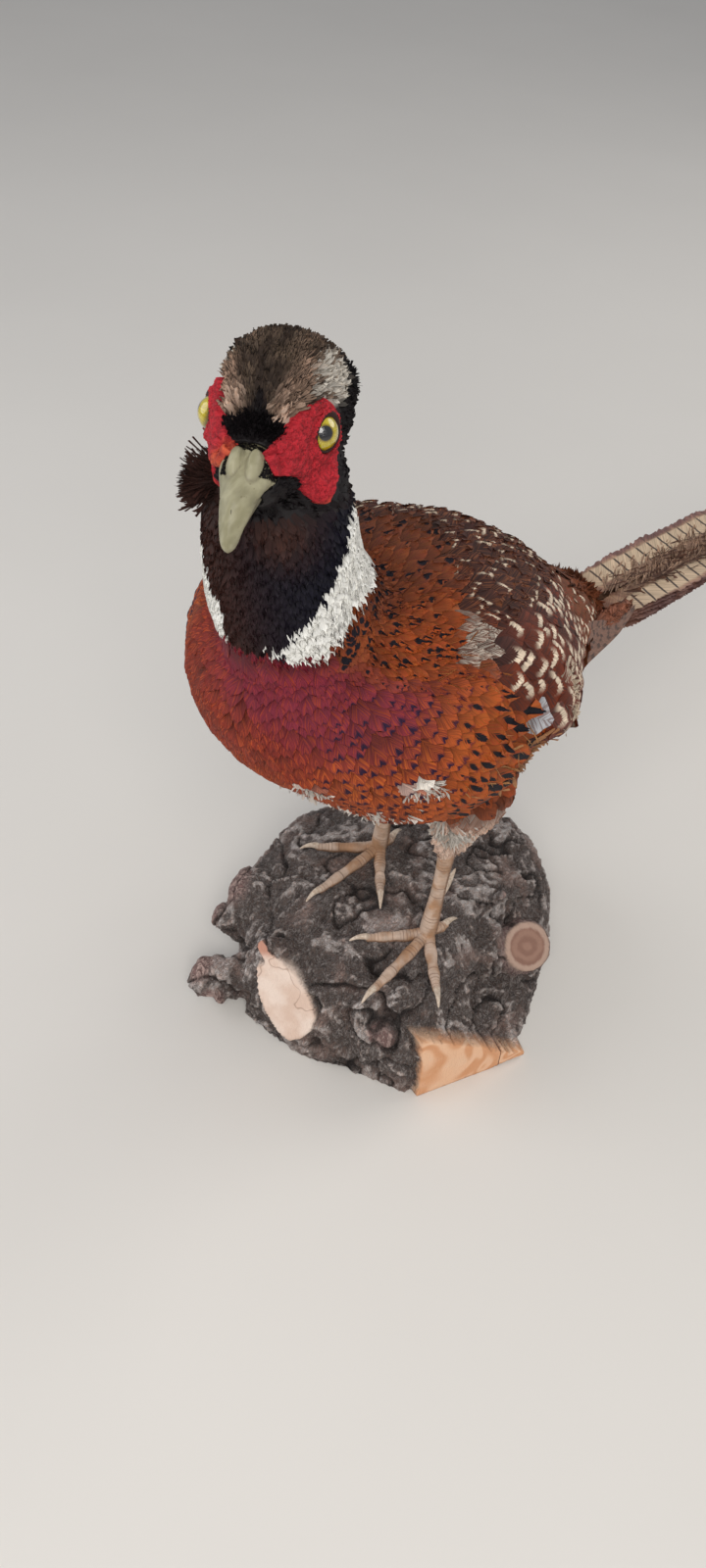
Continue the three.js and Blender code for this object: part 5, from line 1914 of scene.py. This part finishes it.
GROWTHS = [  # knots and broken twigs that stand out of the wood: stations of each one's middle and its radii
    [
        (48, 48, 28, 21, 21, 21), (57, 44, 40, 19, 19, 19), (63.5, 41.5, 49.6, 16.4, 16.4, 16.4),
        (66.3, 40, 53.1, 15.8, 15.8, 15.8),
    ],
    [
        (-44, -62, 34, 11, 9, 9), (-57, -76, 31, 8.5, 7, 7), (-70, -86, 29, 6.5, 5.5, 5.5),
        (-77, -91, 31, 6.0, 5, 5),
    ],
    [(-48, -72, 24, 10, 8, 8), (-56, -84, 18, 8, 6.5, 6.5), (-61, -92, 14, 7, 6, 6)],
    [(-60, -30, 44, 20, 18, 18), (-80, -42, 54, 13, 12, 12), (-89, -47, 60, 9, 9, 9)],
    [(-70, -50, 34, 14, 13, 13), (-86, -58, 38, 9, 9, 9), (-92, -61, 40, 6, 6, 6)],
    [(30, -50, 34, 13, 12, 12), (37, -58, 40, 9.5, 9, 9), (40, -62, 43, 7, 7, 7)],
    [(6, -64, 78, 8, 7, 7), (7, -70, 83, 5.5, 5, 5), (8, -73, 85.5, 4, 4, 4)],
]
KNOBS = [  # smooth pinkish ends of knots, and how far each reaches
    ((-86, -46, 56), 15),
    ((-90, -60, 39), 9),
    ((40, -62, 43), 10),
    ((8, -72, 84), 7),
    ((-84, 28, 50), 12),
    ((-33, -84, 80), 5),
    ((49, 37, 88), 5),
    ((-76, -91, 30), 12),
    ((-61, -92, 14), 10),
]
DENTS = [  # places where the wood falls back, how far around each and how deep
    ((84, -10, 52), (20, 20, 22), 9.0),
    ((89, 10, 38), (15, 15, 28), 11.0),
    ((20, -72, 40), (16, 18, 34), 5.0),
    ((-24, -92, 8), (20, 14, 14), 4.0),
    ((52, 10, 84), (22, 16, 14), 4.0),
    ((-58, -60, 66), (18, 16, 16), 5.0),
]


def under_toes(x, y):
    """1 below the toes, where the bark is kept low, falling to 0 beside them."""
    tread = np.zeros(len(x))
    for name, side in SIDES.items():
        (fx, fy), _, heading = FEET[name]
        for _, turn, length in TOES:
            angle = math.radians((heading + turn) * side)
            run = np.clip((x - fx) * math.sin(angle) - (y - fy) * math.cos(angle), 0, length + 6)
            off = np.hypot(x - fx - run * math.sin(angle), y - fy + run * math.cos(angle))
            tread = np.maximum(tread, ramp(off, 9, 4))
    return tread


def cut_flat(points, normals, share, middle, out, reach, facing):
    """Pulls the part of the wood that a share picks onto a plane, where it lies near it and faces its way."""
    off = (points - middle) @ out
    share = share * (np.abs(off) < reach) * (normals @ out > facing)
    return points - out * (off * share)[:, None], share, off


def make_burl():
    wood, triangles = node_body("base_burl")
    stub = near(wood, (72, 36, 56), (26, 26, 26))[:, None]
    wood = wood - np.minimum(stub * 2.2, 1) * [13, 6, 4]
    shapes = [(wood, [triangles])] + [rounded_body(stations, rows=24, around=20) for stations in GROWTHS]
    piece = remeshed("burl_wood", stacked("wood", shapes), voxel=1.5, smoothing=4)
    points = points_of(piece)
    normals = normals_of(piece)
    for place, reach, depth in DENTS:
        points = points - normals * (depth * near(points, place, reach))[:, None]
    x, y, z = points.T

    pear_way = unit(PEAR_TOP - PEAR_FOOT)
    length = np.linalg.norm(PEAR_TOP - PEAR_FOOT)
    climb = ((points - PEAR_FOOT) @ pear_way) / length
    aside = (points - PEAR_FOOT) @ np.cross(pear_way, PEAR_OUT)
    room = np.interp(climb, PEAR_SHAPE[0], PEAR_SHAPE[2], left=-9, right=-9)
    inside = room - np.abs(aside - np.interp(climb, PEAR_SHAPE[0], PEAR_SHAPE[1]))
    pear = ramp(inside, -1.0, 0.6)
    points, pear, _ = cut_flat(points, normals, pear, PEAR_MIDDLE, PEAR_OUT, reach=11, facing=0.1)

    sawn = ramp(np.interp(y, *SAWN_TOP, left=-9, right=-9) - z, -0.8, 1.0)
    points, sawn, _ = cut_flat(points, normals, sawn, SAWN_POINT, SAWN_OUT, reach=12, facing=0.35)

    off_disc = (points - DISC_CENTRE) @ DISC_OUT
    radius = np.linalg.norm(points - DISC_CENTRE - off_disc[:, None] * DISC_OUT, axis=1)
    disc = ramp(radius, DISC_RADIUS + 0.8, DISC_RADIUS - 0.6)
    points, disc, off_disc = cut_flat(points, normals, disc, DISC_CENTRE, DISC_OUT, reach=8, facing=0.2)
    underside = ramp(z, 2.0, 0.4)
    cut = np.clip(pear + sawn + disc, 0, 1)

    drift = np.column_stack([noise_at(points, 0.03, shift, 2) for shift in (3.0, 41.0, 87.0)]) * 9
    ridges = 1 - np.abs(noise_at((points + drift) * [1, 1, 0.55], 0.085, 5.0, 2))
    wrinkles = 1 - np.abs(noise_at((points + drift) * [1, 1, 0.4], 0.24, 57.0, 2))
    cracks = np.abs(noise_at(points + 0.6 * drift, 0.032, 31.0, 2))
    fissure = ramp(cracks, 0.07, 0.01)
    swells = noise_at(points, 0.05, 17.0, 1)
    push = 5.0 * (ridges - 0.82) + 2.6 * (wrinkles - 0.82) + 1.8 * swells - 3.4 * fissure
    knobs = np.zeros(len(points))
    for place, size in KNOBS:
        knobs = np.maximum(knobs, ramp(near(points, place, (size, size, size)), 0.3, 0.7))
    rim = ramp(radius, DISC_RADIUS + 5.5, DISC_RADIUS + 1.5) * (off_disc > -9)
    push = np.minimum(push, 1.6) * (1 - 0.75 * knobs) * (1 - 0.8 * rim) * (1 - cut) * (1 - underside)
    push += cut * 0.1 * noise_at(points, 0.5, 3.0)
    tread = under_toes(x, y) * ramp(z, 76, 80)
    push = np.where(push > 0, push * (1 - tread), push * (1 - 0.85 * tread))
    moved = points + normals * push[:, None]
    moved[:, 2] = np.where(z < 0.8, 0.0, np.maximum(moved[:, 2], 0.0))
    move_points(piece, moved)

    # The crests lighten the bark, partly as a painted highlight, and the fissures carry painted shade.
    crest = np.clip(ramp(push, -0.4, 1.5), 0, 1)
    bare = 1 - cut
    give_vector(piece, "bark", np.column_stack([crest, fissure * bare, np.maximum(knobs, 0.7 * rim) * bare]))
    give_vector(piece, "cuts", np.column_stack([pear, sawn, disc]))
    along_sawn = (points - SAWN_POINT) @ unit(np.array([0.41, 0.91, 0]))
    give_vector(piece, "cut_places", np.column_stack([radius, along_sawn, climb]))
    return finish_piece(piece, BURL_WOOD, "bark_wood", "base_burl")


# ---------------------------------------------------------------- materials

SKIN_RED = paint(96, 22, 26)
WATTLE_RED = paint(178, 32, 44)
WATTLE_ORANGE = paint(206, 92, 58)
WATTLE_DEEP = paint(140, 16, 28)


def skin_material():
    n = Look("skin_under_feathers", Roughness=0.8)
    blotch = n.mottle(3.0, 0.22)
    return n.finish(n.tint("ground"), blotch["Shade"], blotch["Height"], 0.4)


def wattle_material():
    """Red skin covered in small papillae, paler on their tops (their own colour and a painted highlight),
    with painted shade between them.
    """
    n = Look(
        "wattle_skin", Roughness=0.7, Specular_IOR_Level=0.3, Subsurface_Weight=0.1, Subsurface_Scale=0.0015
    )
    place = n.place()
    cells = n.cells(1500.0, place)
    warts = n.painted("warts")
    blotch = n.mottle(3.0, 0.16)
    # Paler tops of the papillae: partly their own colour, partly a painted highlight.
    tops = n.ramp(warts["X"], 0.45, 0.95) * n.ramp(cells, 0.5, 0.1)
    colour = n.mix(tops * 0.42, n.tint("ground"), paint(228, 104, 92))
    # Painted shade in the hollows between the papillae.
    dark = n.ramp(warts["X"], 0.35, 0.05) * n.ramp(warts["Y"], 0.4, 0.1)
    colour = n.mix(dark * 0.6, colour, paint(110, 8, 20))
    return n.finish(colour, blotch["Shade"], 1.0 - cells, 0.35)


def eye_material():
    """A glass eye: dark pupil, yellow iris with fine rays and a darker rim, under a clear coat; on the right
    eye the rim is turned to the camera as painted shade.
    """
    n = Look("glass_eye", Roughness=0.12, Coat_Weight=1.0, Coat_Roughness=0.03)
    gaze = n.painted("gaze")
    rays = n.result("CombineXYZ", "Vector", {"X": gaze["Y"] * 9.0, "Y": gaze["Z"] * 9.0})
    ray = n.noise(1.6, rays, detail=2.0)
    angle = gaze["X"] + (ray - 0.5) * 3.0
    iris = n.mix(n.ramp(ray, 0.3, 0.7), paint(166, 146, 12), paint(202, 184, 34))
    iris = n.mix(n.ramp(angle, 31.0, 22.0), iris, paint(128, 108, 18))
    # The darker outer iris: the eye's own rim, and painted shade on the right eye, whose gaze turns it to the
    # camera.
    iris = n.mix(n.ramp(angle, 56.0, 78.0), iris, paint(104, 84, 14))
    colour = n.mix(n.ramp(angle, 22.5, 20.5), iris, paint(26, 26, 30))
    return n.finish(colour, None, ray, 0.04)


def lid_material():
    n = Look("eyelid", Roughness=0.6, Specular_IOR_Level=0.25)
    blotch = n.mottle(1.2, 0.35)
    return n.finish(n.mix(0.4, paint(34, 16, 14), paint(60, 22, 18)), blotch["Shade"], blotch["Height"], 0.2)


def horn_material():
    """Pale grey-green horn with painted shade at its root, under the flaps and on the lower sheath, faint
    streaks and dull pits.
    """
    n = Look(
        "bill_horn", Roughness=0.5, Specular_IOR_Level=0.35, Coat_Weight=0.06, Coat_Roughness=0.35
    )
    place = n.place()
    streaks = n.noise(1.0, n.place((420.0, 160.0, 200.0)), detail=2.0)
    blotch = n.mottle(7.0, 0.12)
    colour = n.mix(n.ramp(streaks, 0.3, 0.72), paint(136, 131, 103), paint(160, 155, 127))
    pits = n.ramp(n.noise(620.0, place, detail=1.0), 0.7, 0.77)
    colour = n.mix(pits * 0.5, colour, paint(104, 92, 66))
    # Painted shade at the root, under the flaps and on the lower sheath.
    bill_shade = n.painted("bill_shade")["X"]
    colour = n.mix(bill_shade * 0.75, colour, paint(64, 50, 38))
    n.feed(n.shader.inputs["Roughness"], n.range(streaks, 0.2, 0.8, 0.42, 0.58))
    return n.finish(colour, blotch["Shade"], blotch["Height"], 0.15)


def tail_material():
    """Buff vanes with a pale strip crossed by short black bars, and hairy mauve-brown fringes."""
    n = Look("tail_vane", Roughness=0.6)
    stripe = n.painted("stripe")
    tone = n.painted("tone")
    vane = n.result("UVMap", "UV", uv_map="vane")
    barbs = n.group("barbs", Vane=vane, Count=300.0, Slant=26.0, Seed=tone["Y"])
    place = n.place()
    wobble = (n.noise(70.0, place, detail=3.0) - 0.5) * 5.0
    off = abs(stripe["X"])
    rough = (barbs["Height"] - 0.5) * 1.6
    pale = n.ramp(off + rough - stripe["Z"], 1.4, -0.3)
    slant = stripe["X"] * -0.42
    run = stripe["Y"] - slant + wobble * (1.15 - pale)
    phase = abs((run / BAR_PITCH).fraction() - 0.5)
    bar_wide = n.range(pale, 0.0, 1.0, 0.036, 0.108)
    bar = n.ramp(phase + rough * 0.012, bar_wide, bar_wide * 0.45)
    patches = n.noise(110.0, place, detail=4.0)
    middle = n.mix(n.ramp(patches, 0.36, 0.64), paint(124, 88, 70), paint(178, 142, 114))
    mauve = n.mix(n.ramp(patches, 0.4, 0.62), paint(112, 74, 68), paint(146, 104, 92))
    outward = stripe["X"] * tone["Z"]
    ground = n.mix(n.ramp(outward - stripe["Z"], 0.5, 4.0), middle, mauve)
    ground = n.mix(pale, ground, paint(204, 178, 148))
    ground = n.mix(bar * n.range(pale, 0.0, 1.0, 0.55, 0.95), ground, paint(44, 28, 22))
    # Painted shade: each feather darkened by its own amount, the lower layers and the bird's right the most.
    ground = n.mix(tone["X"] * 0.75, ground, paint(74, 46, 36))
    ground = n.mix(n.ramp(stripe["Y"], 60.0, 6.0), ground, RUMP_BROWN)
    return n.finish(ground, barbs["Shade"], barbs["Height"], 0.22)


def flight_material():
    """Brown-grey flight feathers with buff bars and a pale shaft."""
    n = Look("flight_vane", Roughness=0.55)
    vane = n.result("UVMap", "UV", uv_map="vane")
    seed = n.painted("more_sizes")["Z"]
    barbs = n.group("barbs", Vane=vane, Count=80.0, Slant=14.0, Seed=seed * 60.0)
    parts = n.parts(vane)
    swept = parts["Y"] - barbs["From Shaft"] * 0.06
    phase = ((swept + seed * 0.3) * 7.0).fraction()
    bar = n.ramp(phase + barbs["Height"] * 0.2, 0.78, 0.9)
    colour = n.mix(bar, n.tint("ground"), paint(76, 48, 38))
    colour = n.mix(n.ramp(barbs["From Shaft"], 0.03, 0.01), colour, paint(150, 116, 92))
    return n.finish(colour, barbs["Shade"], barbs["Height"], 0.25)


def leg_material():
    """Pale pinkish horn plates on the fronts, browner small scales behind, and thin dark seams."""
    n = Look("leg_scales", Roughness=0.5, Specular_IOR_Level=0.35)
    scute = n.painted("scute")
    place = n.place()
    grain = n.cells(1300.0, place)
    patches = n.ramp(n.noise(95.0, place, detail=3.0), 0.38, 0.66)
    blotch = n.mottle(6.0, 0.16)
    fronts = n.mix(patches, paint(190, 166, 148), paint(164, 126, 96))
    colour = n.mix(scute["Y"], paint(142, 108, 84), fronts)
    colour = n.mix(scute["X"] * 0.7, colour, paint(98, 68, 50))
    seams = n.ramp(grain, 0.42, 0.62) * (1.0 - scute["Y"])
    colour = n.mix(seams * 0.5, colour, paint(84, 58, 42))
    return n.finish(colour, blotch["Shade"], 1.0 - grain, 0.12)


def claw_material():
    n = Look("claw_horn", Roughness=0.4, Specular_IOR_Level=0.4)
    place = n.place()
    streaks = n.noise(700.0, place, detail=3.0)
    blotch = n.mottle(5.0, 0.2)
    horn = n.mix(n.ramp(streaks, 0.3, 0.7), paint(176, 154, 134), paint(208, 192, 174))
    return n.finish(horn, blotch["Shade"], streaks, 0.1)


def burl_material():
    """Grey weathered bark, paler on its raised places from wear and a painted highlight, with fine whitish
    crests, painted shade in its fissures, raw cut faces and pinkish knobs.
    """
    n = Look("burl_wood", Roughness=0.85, Specular_IOR_Level=0.3)
    place = n.place()
    bark = n.painted("bark")
    cuts = n.painted("cuts")
    where = n.painted("cut_places")
    fine = n.noise(430.0, n.place((1.0, 1.0, 0.4)), detail=6.0, distortion=1.0)
    coarse = n.noise(42.0, place, detail=5.0, distortion=0.4)
    crests = n.ramp(abs(fine - 0.5), 0.095, 0.0)
    grit = n.noise(560.0, n.place((1.0, 0.35, 0.7)), detail=5.0, distortion=1.2)
    # Raised bark is paler: partly weathering, partly a painted highlight where light falls on the ridges.
    wear_and_highlight = bark["X"] + (coarse - 0.5) * 1.5
    colour = n.mix(n.ramp(wear_and_highlight, 0.0, 0.75), paint(86, 74, 69), paint(166, 150, 142))
    colour = n.mix(crests * n.range(wear_and_highlight, 0.1, 0.8, 0.3, 0.9), colour, paint(200, 192, 188))
    lit = n.ramp(grit, 0.5, 0.6) * n.range(wear_and_highlight, 0.1, 0.95, 0.0, 0.85)
    colour = n.mix(lit, colour, paint(204, 197, 195))
    colour = n.mix(n.ramp(grit, 0.46, 0.36) * n.range(wear_and_highlight, 0.1, 0.95, 0.6, 0.1), colour, paint(50, 43, 43))
    colour = n.mix(n.ramp(coarse, 0.5, 0.68) * 0.4, colour, paint(140, 108, 96))
    knob = n.mix(n.ramp(fine, 0.4, 0.6), paint(132, 102, 98), paint(186, 158, 150))
    colour = n.mix(bark["Z"] * 0.78, colour, knob)
    # Painted shade: the fissures are near black.
    colour = n.mix(bark["Y"] * 0.8, colour, paint(26, 21, 21))
    # Pale cut with faint rays, sawn face with its swirl, brown end of the round stub with a pale rim.
    crack = n.ramp(abs(n.noise(24.0, place, detail=3.0) - 0.5), 0.006, 0.001)
    drift = n.ramp(n.noise(60.0, place, detail=4.0), 0.35, 0.65)
    pear = n.mix(drift, paint(224, 196, 178), paint(240, 220, 206))
    pear = n.mix(crack * 0.5, pear, paint(150, 112, 92))
    pear = n.mix(n.ramp(where["Z"], 0.84, 0.94), pear, paint(200, 148, 128))
    colour = n.mix(cuts["X"], colour, pear)
    swirl = n.noise(26.0, place, detail=1.0, distortion=1.1) + where["Y"] * 0.004
    rings = (swirl * 40.0).sine()
    sawn = n.mix(n.ramp(rings, -0.9, 0.9), paint(222, 162, 120), paint(240, 194, 158))
    sawn = n.mix(n.ramp(n.noise(90.0, place), 0.45, 0.75) * 0.35, sawn, paint(240, 206, 176))
    split = n.ramp(abs(where["Y"] - n.range(fine, 0.0, 1.0, 21.0, 22.4)), 0.5, 0.15)
    sawn = n.mix(split, sawn, paint(104, 66, 46))
    colour = n.mix(cuts["Y"], colour, sawn)
    rings = (where["X"] * 0.9 + coarse * 16.0).sine()
    disc = n.mix(n.ramp(rings, -0.9, 1.0), paint(140, 106, 92), paint(156, 122, 106))
    disc = n.mix(n.ramp(where["X"] + fine * 2.0, 11.2, 13.0), disc, paint(180, 152, 136))
    colour = n.mix(cuts["Z"], colour, disc)
    cut = cuts["X"] + cuts["Y"] + cuts["Z"]
    rough = (crests * 0.7 + fine) * n.range(cut, 0.0, 1.0, 1.0, 0.1)
    return n.finish(colour, None, rough, 1.3)


make_barbs_group()
make_figures_group()
make_mottle_group()

CROWN_FEATHERS = plumage_material(
    "crown_plumes", barbs=(3.0, 4.0), contrast=0.5, depth=0.1, Roughness=0.8, Specular_IOR_Level=0.2
)
NECK_FEATHERS = plumage_material(
    "neck_plumes", barbs=(4.0, 6.0), contrast=0.45, depth=0.08, Roughness=0.62, Specular_IOR_Level=0.22
)
RING_FEATHERS = plumage_material(
    "ring_plumes", barbs=(4.0, 6.0), contrast=0.14, depth=0.05, Roughness=0.85, Specular_IOR_Level=0.2
)
BODY_FEATHERS = plumage_material(
    "body_plumes", barbs=(16.0, 18.0), depth=0.35, Roughness=0.68, Specular_IOR_Level=0.25
)
WING_FEATHERS = plumage_material(
    "wing_coverts", barbs=(16.0, 16.0), depth=0.35, Roughness=0.66, Specular_IOR_Level=0.25
)
FLIGHT_FEATHERS = flight_material()
TAIL_VANE = tail_material()
SKIN = skin_material()
WATTLE = wattle_material()
EYE_GLASS = eye_material()
LID = lid_material()
HORN = horn_material()
LEG_SCALES = leg_material()
CLAW_HORN = claw_material()
BURL_WOOD = burl_material()


# ---------------------------------------------------------------- the floor

FLOOR_REACH = 3000.0


def lay_floor():
    n = Look("pale_floor", Roughness=0.75)
    dapple = n.mottle(400.0, 0.02)
    material = n.finish(n.mix(0.5, paint(226, 222, 216), paint(218, 214, 208)), dapple["Shade"])
    corners = [(-FLOOR_REACH, -FLOOR_REACH, 0), (FLOOR_REACH, -FLOOR_REACH, 0)]
    corners += [(FLOOR_REACH, FLOOR_REACH, 0), (-FLOOR_REACH, FLOOR_REACH, 0)]
    floor = new_piece("floor", corners, [[(0, 1, 2, 3)]])
    floor.data.materials.append(material)


# ---------------------------------------------------------------- the whole model

place_camera()
light_studio()
lay_floor()

skin = make_skin()
skin_surface = Surface(skin)
wing_surfaces = [Surface(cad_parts[f"wing_{side}"]) for side in SIDES]
face_surface = face_seat()

make_head_coat(skin)
make_neck_coat(skin)
make_body_coat(skin)
make_down()
dress_skin(skin)
make_face()
make_tail()
make_rump_fringe()
for side_name, side in SIDES.items():
    make_flight_feathers(f"flight_vanes_{side_name}", f"primaries_{side_name}", side)
make_legs()
make_burl()
